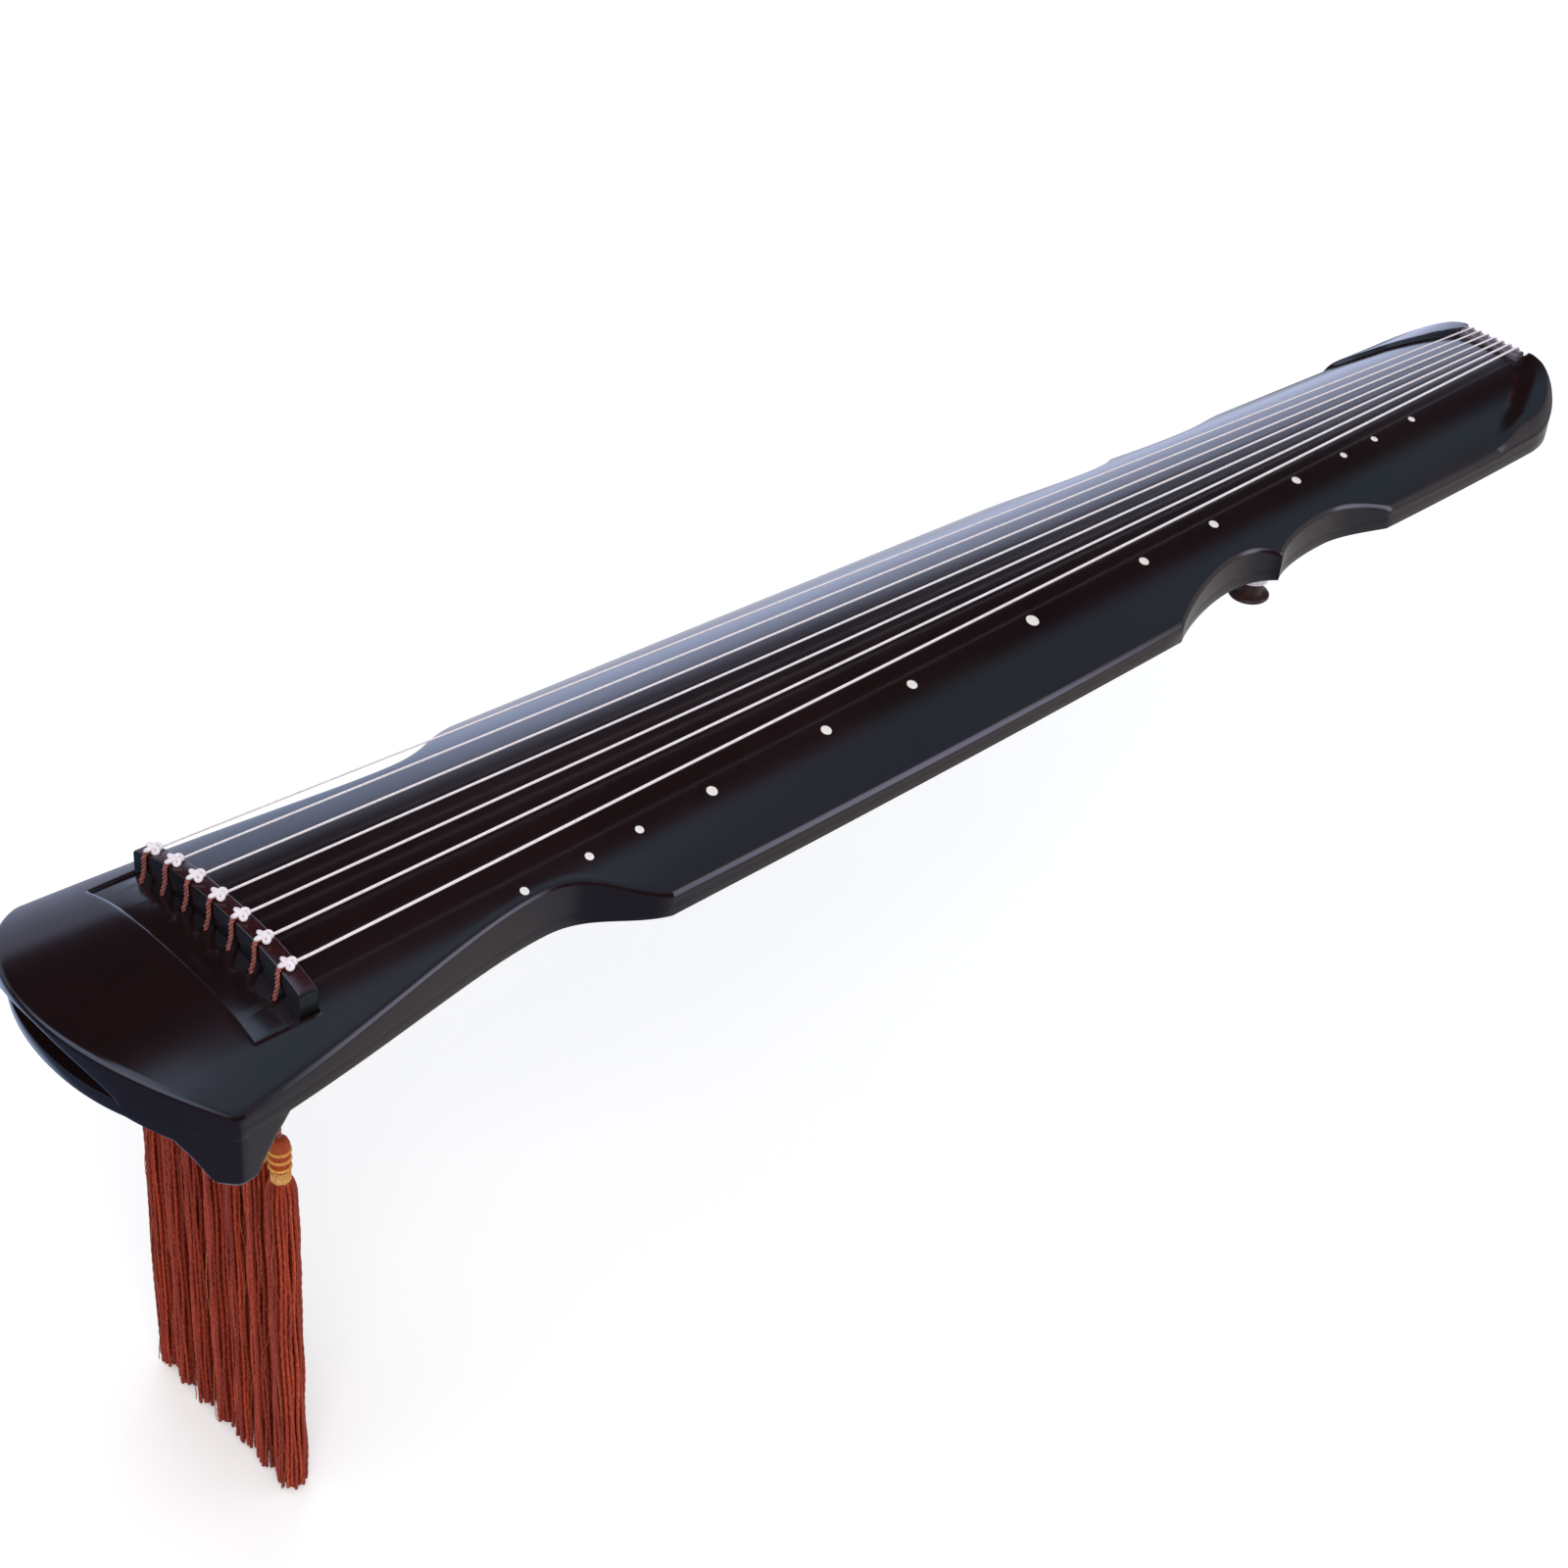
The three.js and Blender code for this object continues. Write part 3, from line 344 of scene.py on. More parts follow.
def outwards(piece):
    """Turns a closed skin's faces outwards."""
    bm = bmesh.new()
    bm.from_mesh(piece.data)
    bmesh.ops.remove_doubles(bm, verts=bm.verts, dist=0.005 * MM)
    bmesh.ops.recalc_face_normals(bm, faces=bm.faces)
    bm.to_mesh(piece.data)
    bm.free()


def lofted(name, rings, sharp=radians(32)):
    """A closed skin through rings of points, with its ends filled."""
    rings = np.asarray(rings, float)
    rows, columns = rings.shape[:2]
    faces = grid_faces(rows, columns, closed=True)
    faces += [tuple(range(columns)), tuple(range(rows * columns - 1, (rows - 1) * columns - 1, -1))]
    piece = mesh_piece(name, rings.reshape(-1, 3), faces, sharp)
    outwards(piece)
    return piece


def between_heights(name, plan, high, low):
    """A closed skin over a grid of places in plan, between two heights."""
    rows, columns = plan.shape[:2]
    points = np.concatenate([np.dstack([plan, height]).reshape(-1, 3) for height in (high, low)])
    count = rows * columns
    faces = grid_faces(rows, columns) + [face[::-1] for face in grid_faces(rows, columns, count)]
    first, last = np.arange(columns), count - columns + np.arange(columns)
    near, far = np.arange(rows) * columns, np.arange(rows) * columns + columns - 1
    for edge in (near, last, far[::-1], first[::-1]):
        faces += [(a + count, b + count, b, a) for a, b in zip(edge, edge[1:])]
    return mesh_piece(name, points, faces)


def lathe(name, profile, place, sides=48, flutes=0, flute_share=0):
    """A turned piece from (radius, height, how fluted) points round an upright axis."""
    angles = np.arange(sides) * tau / sides
    rings = []
    for point in profile:
        radius, height, fluted = (*point, 0)[:3]
        reach = radius * (1 - fluted * flute_share * (0.5 - 0.5 * np.cos(flutes * angles)))
        rings.append(round_axis(place, reach, angles, place[2] + height))
    return lofted(name, rings)


def add_lines(data, lines, cyclic):
    """Adds a spline of straight stretches to a curve for each line of points in millimetres."""
    for line in lines:
        spline = data.splines.new("POLY")
        spline.points.add(len(line) - 1)
        places = np.zeros((len(line), 4))
        places[:, :len(line[0])] = np.asarray(line, float) * MM
        places[:, 3] = 1
        spline.points.foreach_set("co", places.ravel())
        spline.use_cyclic_u = cyclic


def baked(piece):
    """Replaces a piece by the plain mesh that its modifiers make."""
    graph = bpy.context.evaluated_depsgraph_get()
    mesh = bpy.data.meshes.new_from_object(piece.evaluated_get(graph))
    name = piece.name
    bpy.data.objects.remove(piece)
    mesh.name = name
    return new_object(name, mesh)


def joined(name, parts):
    """Joins mesh objects into one."""
    with bpy.context.temp_override(active_object=parts[0], selected_editable_objects=parts):
        bpy.ops.object.join()
    parts[0].name = parts[0].data.name = name
    return parts[0]


def add_share(piece, name, values):
    """Keeps a share from 0 to 1 on each point of a piece for its material."""
    attribute = piece.data.attributes.new(name, "FLOAT", "POINT")
    attribute.data.foreach_set("value", np.asarray(values, np.float32))


def finished(piece, slot, material, *replaced, body="body"):
    """Gives a piece its material and its body, and hides the nodes that it stands for; the slot is not used.
    """
    piece.data.materials.clear()
    piece.data.materials.append(material)
    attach(piece, body)
    if replaced:
        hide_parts(*replaced)


# Nodes

class Nodes:
    """A node tree under construction."""

    def __init__(self, tree):
        self.tree = tree
        tree.nodes.clear()

    def feed(self, node, name, value):
        """Fills one input of a node from a socket or a value."""
        socket = node.inputs[name]
        if isinstance(value, bpy.types.NodeSocket):
            self.tree.links.new(value, socket)
        else:
            socket.default_value = value

    def add(self, kind, *inputs, **settings):
        """Adds a node, sets its properties, then fills its inputs."""
        node = self.tree.nodes.new(kind)
        for name, value in settings.items():
            setattr(node, name, value)
        for name, value in inputs:
            self.feed(node, name, value)
        return node

    def math(self, operation, *values):
        return self.add("ShaderNodeMath", *enumerate(values), operation=operation).outputs[0]

    def vector(self, operation, *values):
        return self.add("ShaderNodeVectorMath", *enumerate(values), operation=operation).outputs[0]

    def mixed(self, factor, first, second):
        """A colour between two others, of which each may be as written in a paint list."""
        first, second = [colour(c) if isinstance(c, str) else c for c in (first, second)]
        return self.add("ShaderNodeMix", (0, factor), (6, first), (7, second), data_type="RGBA").outputs[2]

    def ranged(self, value, low, high, to_low=0.0, to_high=1.0):
        return self.add("ShaderNodeMapRange", *enumerate((value, low, high, to_low, to_high))).outputs[0]

    def noise(self, place, stretch, scale, detail=3.0, roughness=0.55):
        """Noise over a place that is first drawn out along its axes."""
        if stretch:
            place = self.vector("MULTIPLY", place, stretch)
        return self.add("ShaderNodeTexNoise", ("Vector", place), ("Scale", scale), ("Detail", detail),
                        ("Roughness", roughness)).outputs[0]

    def bump(self, height, strength, distance):
        node = self.add("ShaderNodeBump", ("Strength", strength), ("Distance", distance), ("Height", height))
        return node.outputs[0]

    def place(self):
        return self.add("ShaderNodeTexCoord").outputs["Object"]

    def own(self, name, output="Fac"):
        """What a piece keeps under a name on its points."""
        return self.add("ShaderNodeAttribute", attribute_name=name).outputs[output]


def colour(code):
    """A colour as written in a paint list, made linear."""
    parts = [int(code[i:i + 2], 16) / 255 for i in (0, 2, 4)]
    return (*[p / 12.92 if p <= 0.04045 else ((p + 0.055) / 1.055) ** 2.4 for p in parts], 1)


def new_group(name, kind, inputs, outputs):
    """A node group with named inputs and outputs; each is (name, socket kind, value)."""
    tree = bpy.data.node_groups.new(name, kind)
    for way, sockets in (("INPUT", inputs), ("OUTPUT", outputs)):
        for label, socket, *value in sockets:
            item = tree.interface.new_socket(label, in_out=way, socket_type="NodeSocket" + socket)
            if value:
                item.default_value = value[0]
    nodes = Nodes(tree)
    return nodes, nodes.add("NodeGroupInput").outputs, nodes.add("NodeGroupOutput")


# Finishes

def hand_rubbed_group():
    """Fine dust specks, rubbing marks and slow unevenness of a polished surface."""
    nodes, given, out = new_group("hand_rubbed", "ShaderNodeTree", [
        ("Place", "Vector"), ("Low roughness", "Float", 0.2), ("High roughness", "Float", 0.3),
        ("Depth", "Float", 0.1)], [("Roughness", "Float"), ("Normal", "Vector"), ("Clouds", "Float")])
    place = given["Place"]
    clouds = nodes.noise(place, None, 9.0, 4.0, 0.6)
    marks = nodes.noise(place, (1.0, 14.0, 14.0), 60.0, 2.0)
    unevenness = nodes.math("ADD", nodes.math("MULTIPLY", clouds, 0.6), nodes.math("MULTIPLY", marks, 0.4))
    specks = nodes.math("MULTIPLY", nodes.noise(place, None, 220.0, 2.0), 0.15)
    height = nodes.math("ADD", specks, nodes.noise(place, None, 14.0, 2.0))
    roughness = nodes.ranged(unevenness, 0.35, 0.65, given["Low roughness"], given["High roughness"])
    nodes.feed(out, "Roughness", roughness)
    nodes.feed(out, "Normal", nodes.bump(height, given["Depth"], 0.0006))
    nodes.feed(out, "Clouds", clouds)
    return nodes.tree


def twist_group():
    """Plies that wind round a yarn, from the place along it and the way round it."""
    nodes, given, out = new_group("twist", "ShaderNodeTree", [
        ("Along", "Float"), ("Around", "Float"), ("Pitch", "Float", 0.004), ("Plies", "Float", 2.0)],
        [("Height", "Float")])
    turns = nodes.math("DIVIDE", given["Along"], given["Pitch"])
    round_it = nodes.math("MULTIPLY", given["Around"], given["Plies"])
    phase = nodes.math("MULTIPLY", nodes.math("ADD", round_it, turns), pi)
    nodes.feed(out, "Height", nodes.math("ABSOLUTE", nodes.math("SINE", phase)))
    return nodes.tree


HAND_RUBBED = hand_rubbed_group()
TWIST = twist_group()


def new_material(name, roughness=0.5, **shader):
    """A material with one Principled shader whose plain values are given."""
    material = bpy.data.materials.new(name)
    material.use_nodes = True
    nodes = Nodes(material.node_tree)
    values = [(label.replace("_", " "), value) for label, value in shader.items()]
    surface = nodes.add("ShaderNodeBsdfPrincipled", ("Roughness", roughness), *values)
    nodes.add("ShaderNodeOutputMaterial", ("Surface", surface.outputs[0]))
    return material, nodes, surface


def rub(nodes, surface, low, high, depth):
    """Sends the hand-rubbed roughness and normal to a surface, and gives its clouds."""
    group = nodes.add("ShaderNodeGroup", ("Place", nodes.place()), ("Low roughness", low),
                      ("High roughness", high), ("Depth", depth), node_tree=HAND_RUBBED)
    for name in ("Roughness", "Normal"):
        nodes.feed(surface, name, group.outputs[name])
    return group.outputs["Clouds"]


def lacquer():
    """Near-black lacquer with a red-brown ground that shows through where it is thin."""
    material, nodes, surface = new_material("black_lacquer", Coat_Weight=0.35, Coat_Roughness=0.12)
    clouds = rub(nodes, surface, 0.18, 0.22, 0.03)
    warm = nodes.mixed(nodes.ranged(clouds, 0.3, 0.7), "180c0d", "1f1011")
    patches = nodes.noise(nodes.place(), (1.0, 2.0, 2.0), 46.0, 4.0, 0.65)
    worn = nodes.math("MULTIPLY", nodes.ranged(patches, 0.5, 0.64), nodes.ranged(nodes.own("edge"), 0.1, 0.9))
    nodes.feed(surface, "Base Color", nodes.mixed(worn, warm, "581a19"))
    return material


def grained(name, stretch, scale, detail, spread, dark, light, rubbed=None, relief=0, top_tint=None, **shader):
    """A material whose two colours follow a drawn-out grain, rubbed, in relief or with a tint where its edge
    share is set, if so wished.
    """
    material, nodes, surface = new_material(name, **shader)
    if rubbed:
        rub(nodes, surface, *rubbed)
    grain = nodes.noise(nodes.place(), stretch, scale, detail)
    base = nodes.mixed(nodes.ranged(grain, *spread), dark, light)
    if top_tint:
        tinted = nodes.math("MULTIPLY", nodes.own("edge"), nodes.ranged(grain, 0.2, 0.6, 0.5, 1.0))
        base = nodes.mixed(tinted, base, top_tint)
    nodes.feed(surface, "Base Color", base)
    if relief:
        nodes.feed(surface, "Normal", nodes.bump(grain, relief, 0.0002))
    return material


def mother_of_pearl():
    """White shell with faint bands of pink and green."""
    material, nodes, surface = new_material("mother_of_pearl", Coat_Weight=0.6, Coat_Roughness=0.08)
    place = nodes.place()
    bands = nodes.noise(place, (1.0, 2.2, 1.0), 380.0)
    tint = nodes.mixed(nodes.ranged(bands, 0.42, 0.6), "f4f0ea", "e3ebe4")
    blush = nodes.ranged(nodes.noise(place, None, 520.0, 2.0), 0.5, 0.66)
    nodes.feed(surface, "Base Color", nodes.mixed(blush, tint, "f3dfe0"))
    nodes.feed(surface, "Roughness", nodes.ranged(bands, 0.3, 0.7, 0.2, 0.34))
    return material


def silk(name, dark, middle, light, roughness=0.5, pitch=0.0045):
    """Silk yarn: twisted plies with painted shade in the grooves between them, fine fibres with painted
    glints, a soft sheen, and a tone that changes from strand to strand.
    """
    material, nodes, surface = new_material(name, roughness, Sheen_Weight=0.3, Sheen_Roughness=0.45,
                                            Sheen_Tint=colour(light), Specular_IOR_Level=0.35)
    place = nodes.place()
    ridges = nodes.add("ShaderNodeGroup", ("Along", nodes.own("along")), ("Around", nodes.own("around")),
                       ("Pitch", pitch), node_tree=TWIST).outputs[0]
    slow = nodes.noise(place, (1.0, 1.0, 0.25), 90.0)
    strand_tone = nodes.math("MULTIPLY", nodes.own("tone"), 0.6)
    tone = nodes.math("ADD", strand_tone, nodes.math("MULTIPLY", slow, 0.5))
    fibres = nodes.noise(place, (1.0, 1.0, 0.3), 1500.0, 2.0)
    base = nodes.mixed(nodes.ranged(tone, 0.3, 0.8), dark, middle)
    # Painted shade: the grooves between the plies are darkened towards the dark colour
    painted_groove_shade = nodes.mixed(nodes.ranged(ridges, 0.0, 0.55, 0.55, 0.0), base, dark)
    # Painted glints: flecks of fibre are lightened towards the light colour
    painted_glints = nodes.math("MULTIPLY", nodes.ranged(fibres, 0.48, 0.72), nodes.ranged(tone, 0.3, 0.9, 0.25, 1.0))
    nodes.feed(surface, "Base Color", nodes.mixed(painted_glints, painted_groove_shade, light))
    height = nodes.math("ADD", ridges, nodes.math("MULTIPLY", fibres, 0.4))
    nodes.feed(surface, "Normal", nodes.bump(height, 0.8, 0.00035))
    return material


# A grained finish has its grain's stretch, scale, detail and spread, two colours, and any rubbing
LACQUER = lacquer()
EBONY = grained("ebony", (60.0, 2.5, 60.0), 22.0, 4.0, (0.4, 0.65), "0b0a0a", "150f10", (0.2, 0.28, 0.1),
                top_tint="341416", Coat_Weight=0.15)
POLISHED_EBONY = grained("polished_ebony", (40.0, 1.5, 40.0), 20.0, 4.0, (0.4, 0.65), "150b0c", "1f1113",
                         (0.17, 0.23, 0.05), Coat_Weight=0.3, Coat_Roughness=0.12)
# Painted reflection: the nut's pale lavender grey stands in for light mirrored on its top
NUT_PAINTED_SHEEN = grained("nut_with_painted_sheen", (30.0, 4.0, 30.0), 20.0, 4.0, (0.35, 0.65), "5c525b", "786d77", (0.2, 0.28, 0.05),
               Coat_Weight=0.4, Coat_Roughness=0.1)
TURNED_WOOD = grained("turned_dark_wood", (9.0, 9.0, 1.2), 45.0, 5.0, (0.35, 0.65), "241511", "4a2c20",
                      (0.35, 0.5, 0.25), Coat_Weight=0.2, Coat_Roughness=0.2)
BARE_WOOD = grained("bare_softwood", (1.0, 18.0, 18.0), 16.0, 4.0, (0.35, 0.7), "c79c6c", "96683c",
                    roughness=0.7)
PEARL = mother_of_pearl()
STRING = grained("white_string", (1.0, 0.2, 0.2), 900.0, 2.0, (0.35, 0.65), "e6dce2", "f8f0f4", relief=0.3,
                 roughness=0.42, Coat_Weight=0.2)
LOOP_SILK = silk("brown_red_cord", "6a302b", "97504a", "c08478", 0.6, 0.0024)
TASSEL_SILK = silk("rust_red_silk", "7a200c", "aa351a", "de5e2e")
HEAD_SILK = silk("orange_red_silk", "a23a17", "cc5622", "ee8c42")
# Partly painted highlight: the stray threads are real, but their lighter orange stands in for glints of light
STRAY_GLINT_SILK = silk("stray_silk_painted_glint", "a0401c", "c8683a", "e89a68")
PALE_SILK = silk("pale_binding_silk", "d08036", "ecaa5e", "ffd494", 0.45, 0.002)
GOLD = grained("gold_thread", (1.0, 1.0, 0.2), 1500.0, 2.0, (0.3, 0.7), "da8826", "ffc264", relief=0.4,
               roughness=0.3, Metallic=0.15, Specular_IOR_Level=0.7)


# Cords that follow a path

def twisted_cord_tree():
    """Plies wound round every curve that goes in, as one mesh."""
    nodes, given, out = new_group("twisted_cord", "GeometryNodeTree", [
        ("Geometry", "Geometry"), ("Plies", "Int", 2), ("Offset", "Float", 0.0005),
        ("Radius", "Float", 0.0006), ("Pitch", "Float", 0.006), ("Points per turn", "Float", 8.0),
        ("Sides", "Int", 6), ("Seed", "Int", 0), ("Material", "Material")], [("Geometry", "Geometry")])

    def stored(geometry, name, value, domain="POINT"):
        return nodes.add("GeometryNodeStoreNamedAttribute", ("Geometry", geometry), ("Name", name),
                         ("Value", value), data_type="FLOAT", domain=domain).outputs[0]

    def along(output="Length"):
        return nodes.add("GeometryNodeSplineParameter").outputs[output]

    def scaled(vector, amount):
        reach = nodes.math("MULTIPLY", amount, given["Offset"])
        return nodes.add("ShaderNodeVectorMath", (0, vector), ("Scale", reach), operation="SCALE").outputs[0]

    spacing = nodes.math("DIVIDE", given["Pitch"], given["Points per turn"])
    even = nodes.add("GeometryNodeResampleCurve", ("Curve", given["Geometry"]), ("Length", spacing),
                     mode="LENGTH")
    dice = nodes.add("FunctionNodeRandomValue", ("Seed", given["Seed"]), data_type="FLOAT")
    measured = stored(stored(even.outputs[0], "tone", dice.outputs[1], "CURVE"), "along", along())
    plies = nodes.add("GeometryNodeDuplicateElements", ("Geometry", measured), ("Amount", given["Plies"]),
                      domain="SPLINE")
    phase = nodes.math("ADD", nodes.math("DIVIDE", along(), given["Pitch"]),
                       nodes.math("DIVIDE", plies.outputs["Duplicate Index"], given["Plies"]))
    angle = nodes.math("MULTIPLY", phase, tau)
    normal = nodes.add("GeometryNodeInputNormal").outputs[0]
    across = nodes.vector("CROSS_PRODUCT", nodes.add("GeometryNodeInputTangent").outputs[0], normal)
    shift = nodes.vector("ADD", scaled(normal, nodes.math("COSINE", angle)),
                         scaled(across, nodes.math("SINE", angle)))
    moved = nodes.add("GeometryNodeSetPosition", ("Geometry", plies.outputs[0]), ("Offset", shift))
    ring = nodes.add("GeometryNodeCurvePrimitiveCircle", ("Resolution", given["Sides"]),
                     ("Radius", given["Radius"]))
    rounded = stored(ring.outputs[0], "around", along("Factor"))
    tubes = nodes.add("GeometryNodeCurveToMesh", ("Curve", moved.outputs[0]), ("Profile Curve", rounded),
                      ("Fill Caps", True))
    whole = nodes.add("GeometryNodeRealizeInstances", (0, tubes.outputs[0]))
    dressed = nodes.add("GeometryNodeSetMaterial", ("Geometry", whole.outputs[0]),
                        ("Material", given["Material"]))
    nodes.feed(out, "Geometry", dressed.outputs[0])
    return nodes.tree


TWISTED_CORD = twisted_cord_tree()


def curves_object(name, lines, cyclic=False):
    data = bpy.data.curves.new(name, "CURVE")
    data.dimensions = "3D"
    add_lines(data, lines, cyclic)
    return new_object(name, data)


def cord_piece(name, lines, material, plies=1, offset=0, radius=0.72, pitch=6, per_turn=4, sides=6, seed=0):
    """A cord of twisted plies, or one plain round cord, along each line; sizes in millimetres."""
    cord = curves_object(name, lines)
    modifier = cord.modifiers.new("plies", "NODES")
    modifier.node_group = TWISTED_CORD
    values = {"Plies": plies, "Offset": offset * MM, "Radius": radius * MM, "Pitch": pitch * MM,
              "Points per turn": float(per_turn), "Sides": sides, "Seed": seed, "Material": material}
    for item in TWISTED_CORD.interface.items_tree:
        if item.in_out == "INPUT" and item.name in values:
            modifier[item.identifier] = values[item.name]
    piece = baked(cord)
    piece.data.shade_smooth()
    return piece


def plain_tube(name, line, radius, cyclic=False):
    """A round tube along a line of points, as it is."""
    tube = curves_object(name, [line], cyclic)
    tube.data.bevel_depth = radius * MM
    tube.data.bevel_resolution = 3
    tube.data.use_fill_caps = not cyclic
    tube = baked(tube)
    tube.data.shade_smooth()
    return tube


# The lacquered body

FRONT_ZONE_END = -60
TAIL_ZONE_START = 1040
HAIR = 0.02

# The rows of points lie closer at the neck, at the waist and in the half-moon hollow, the columns at its ends
ROW_STEP, FINE_ROW_STEP = 5, 2.5
FINE_ROWS = [(152, 232), (640, 900)]
MOON_ROWS, MOON_COLUMNS = np.linspace(0.125, 0.335, 15), np.arange(0.5625, 0.74, 1 / 24)

# Half the width of the even columns of points: wide at the bridge's seat, narrow behind it
SEAT_COLUMNS, BODY_COLUMNS = 78, 52
COLUMNS_NARROW = (40, 110)


def plan_grid():
    """Places in plan that follow the outline, the seats and the channel."""
    lips = (BRIDGE_HALF_LENGTH + CLEARANCE + LIP_STEPS) / SEAT_COLUMNS
    channel = (CHANNEL_HALF_WIDTH + np.array([-0.1, 0.1])) / BODY_COLUMNS
    inner = np.unique(np.concatenate([np.linspace(0, 1, 25), lips, channel, MOON_COLUMNS]))
    outer = np.linspace(0, 1, 9)[1:-1]
    step = np.array([-HAIR, HAIR])
    seats = np.concatenate([
        PLATE_START - CLEARANCE - LIP_STEPS, step - BRIDGE_THICKNESS - CLEARANCE, step + CLEARANCE])
    middle = np.unique(np.concatenate([
        np.arange(FRONT_ZONE_END + ROW_STEP, TAIL_ZONE_START, ROW_STEP), seats,
        *[np.arange(start, end, FINE_ROW_STEP) for start, end in FINE_ROWS],
        [SIDE_PLACES[2][0], SIDE_PLACES[5][0]]]))
    zone = FRONT_ZONE_END - FRONT_LINE[0, 0]
    head_shares = np.concatenate([EDGE_STEPS / zone, MOON_ROWS, np.linspace(0.4, 1, 9)])
    zone = END_FACE_AT - TAIL_ZONE_START
    seat = (STRING_LENGTH - CLEARANCE + step - TAIL_ZONE_START) / zone
    tail_shares = np.unique(np.concatenate([1 - EDGE_STEPS / zone, np.linspace(0, 0.9, 14), seat]))

    def across(x):
        """Distances from the centre line, out to the outline."""
        even = float(np.interp(x, COLUMNS_NARROW, (SEAT_COLUMNS, BODY_COLUMNS)))
        rim = float(half_width_at(x)) - EDGE_STEPS[::-1]
        return np.concatenate([even * inner, even + (rim[0] - even) * outer, rim])

    rows = []
    for share in head_shares:
        y = across(FRONT_LINE[-1, 0] + (FRONT_ZONE_END - FRONT_LINE[-1, 0]) * share)
        front = np.interp(y, FRONT_LINE[:, 1], FRONT_LINE[:, 0])
        rows.append((front + (FRONT_ZONE_END - front) * share, y))
    rows += [(x + 0 * across(x), across(x)) for x in middle]
    for share in tail_shares:
        y = across(TAIL_ZONE_START + (END_LINE[-1, 0] - TAIL_ZONE_START) * share)
        end_x = np.where(y <= CHANNEL_HALF_WIDTH, END_FACE_AT, np.interp(y, END_LINE[:, 1], END_LINE[:, 0]))
        rows.append((TAIL_ZONE_START + (end_x - TAIL_ZONE_START) * share, y))
    half = np.array(rows).transpose(0, 2, 1)
    return np.concatenate([half[:, :0:-1] * [1, -1], half], 1)


def recess_depth(x, y):
    """The seat of the bridge and of the plate in front of it, with a rounded lip."""
    start, end, half = PLATE_START - CLEARANCE, CLEARANCE, BRIDGE_HALF_LENGTH + CLEARANCE
    outside = np.hypot(np.maximum(0, np.maximum(start - x, x - end)), np.maximum(0, np.abs(y) - half))
    lip = PLATE_RECESS - 0.1
    under_plate = PLATE_RECESS + PLATE_THICKNESS + CLEARANCE
    floor = np.where(x < -BRIDGE_THICKNESS, under_plate, BRIDGE_SINK + CLEARANCE)
    slope = rounded_drop(outside * lip / LIP_STEPS[-1], lip)
    return np.where(outside > 0, np.where(x > 0, 0, slope), floor)


def sound_bump(x, y):
    """Lumps under the roof that face the sound holes."""
    lump = 0
    for start, length in PONDS:
        along = (x - start - length / 2) / (length / 2 + SOUND_BUMP_MARGIN)
        across = y / (POND_WIDTH / 2 + SOUND_BUMP_MARGIN)
        lump = lump + SOUND_BUMP_HEIGHT * np.maximum(0, 1 - along ** 2) * np.maximum(0, 1 - across ** 2)
    return lump


def underside_height(x, y, away):
    """The hollow of the sound box and the half-moon hollow of the head, seen from below."""
    shifts = np.array([-1, -0.5, 0, 0.5, 1]) * CAVITY_STEP
    half = np.min([half_width_at(x + shift) for shift in shifts], axis=0) - WALL_THICKNESS
    clear = top_height(x, 0 * y) - ROOF_THICKNESS - BASE_THICKNESS
    roof = np.maximum(0, clear * (1 - np.abs(y / half) ** CAVITY_POWER) - sound_bump(x, y))
    roof = np.where((x > CAVITY[0]) & (x < CAVITY[1]), roof, 0)
    across = np.clip(np.abs(y) / MOON_HALF_WIDTH, 0, 1)
    moon = MOON_HEIGHT * (1 - across ** MOON_POWERS[0]) ** MOON_POWERS[1]
    moon = moon + rounded_drop(away, MOON_LIP) * np.clip(moon / MOON_LIP, 0, 1)
    moon = moon * np.clip((MOON_DEPTH - HEAD_LENGTH - x) / MOON_BACK_SLOPE, 0, 1)
    return BASE_THICKNESS + roof + moon


def top_board():
    plan = plan_grid()
    x, y = plan[..., 0], plan[..., 1]
    away = distance_to_line(plan, whole_line(OUTLINE))
    high = top_height(x, y) - rounded_drop(away, EDGE_ROUNDING) - recess_depth(x, y)
    nut_seat = (x > STRING_LENGTH - CLEARANCE) & (np.abs(y) < CHANNEL_HALF_WIDTH)
    high = np.where(nut_seat, np.minimum(high, NUT_BOTTOM - CLEARANCE), high)
    board = between_heights("lacquered_top", plan, high, underside_height(x, y, away))
    finished(board, "lacquer", LACQUER, "top_board")


def rounded_rectangle(left, right, half, corner, steps=8):
    """The outline of a hole with round corners."""
    angles = np.linspace(0, pi / 2, steps)
    line = []
    for turn, (x, y) in enumerate([(right - corner, half - corner), (left + corner, half - corner),
                                   (left + corner, corner - half), (right - corner, corner - half)]):
        line += [(x + corner * cos(a + turn * pi / 2), y + corner * sin(a + turn * pi / 2)) for a in angles]
    return line


def disc_line(x, y, radius, sides=32):
    return [(x + radius * cos(tau * i / sides), y + radius * sin(tau * i / sides)) for i in range(sides)]


def flat_board(name, outlines, low, high, bevel, node):
    """A flat board with holes, its edges slightly rounded."""
    data = bpy.data.curves.new(name, "CURVE")
    data.dimensions, data.fill_mode = "2D", "BOTH"
    data.extrude = ((high - low) / 2 - bevel) * MM
    data.bevel_depth, data.offset, data.bevel_resolution = bevel * MM, -bevel * MM, 2
    add_lines(data, outlines, True)
    board = baked(new_object(name, data))
    board.data.transform(Matrix.Translation((0, 0, (low + high) / 2 * MM)))
    outwards(board)
    board.data.shade_smooth()
    board.data.set_sharp_from_angle(angle=radians(40))
    finished(board, "lacquer", LACQUER, node)


def pool_outline(gap, corner):
    """The outline of the peg pool, or of a panel inside it with a gap all round."""
    reach = POOL_HALF_WIDTH - gap
    return rounded_rectangle(-CORD_HOLE_AT - reach, reach - CORD_HOLE_AT, POOL_HALF_LENGTH - gap, corner)


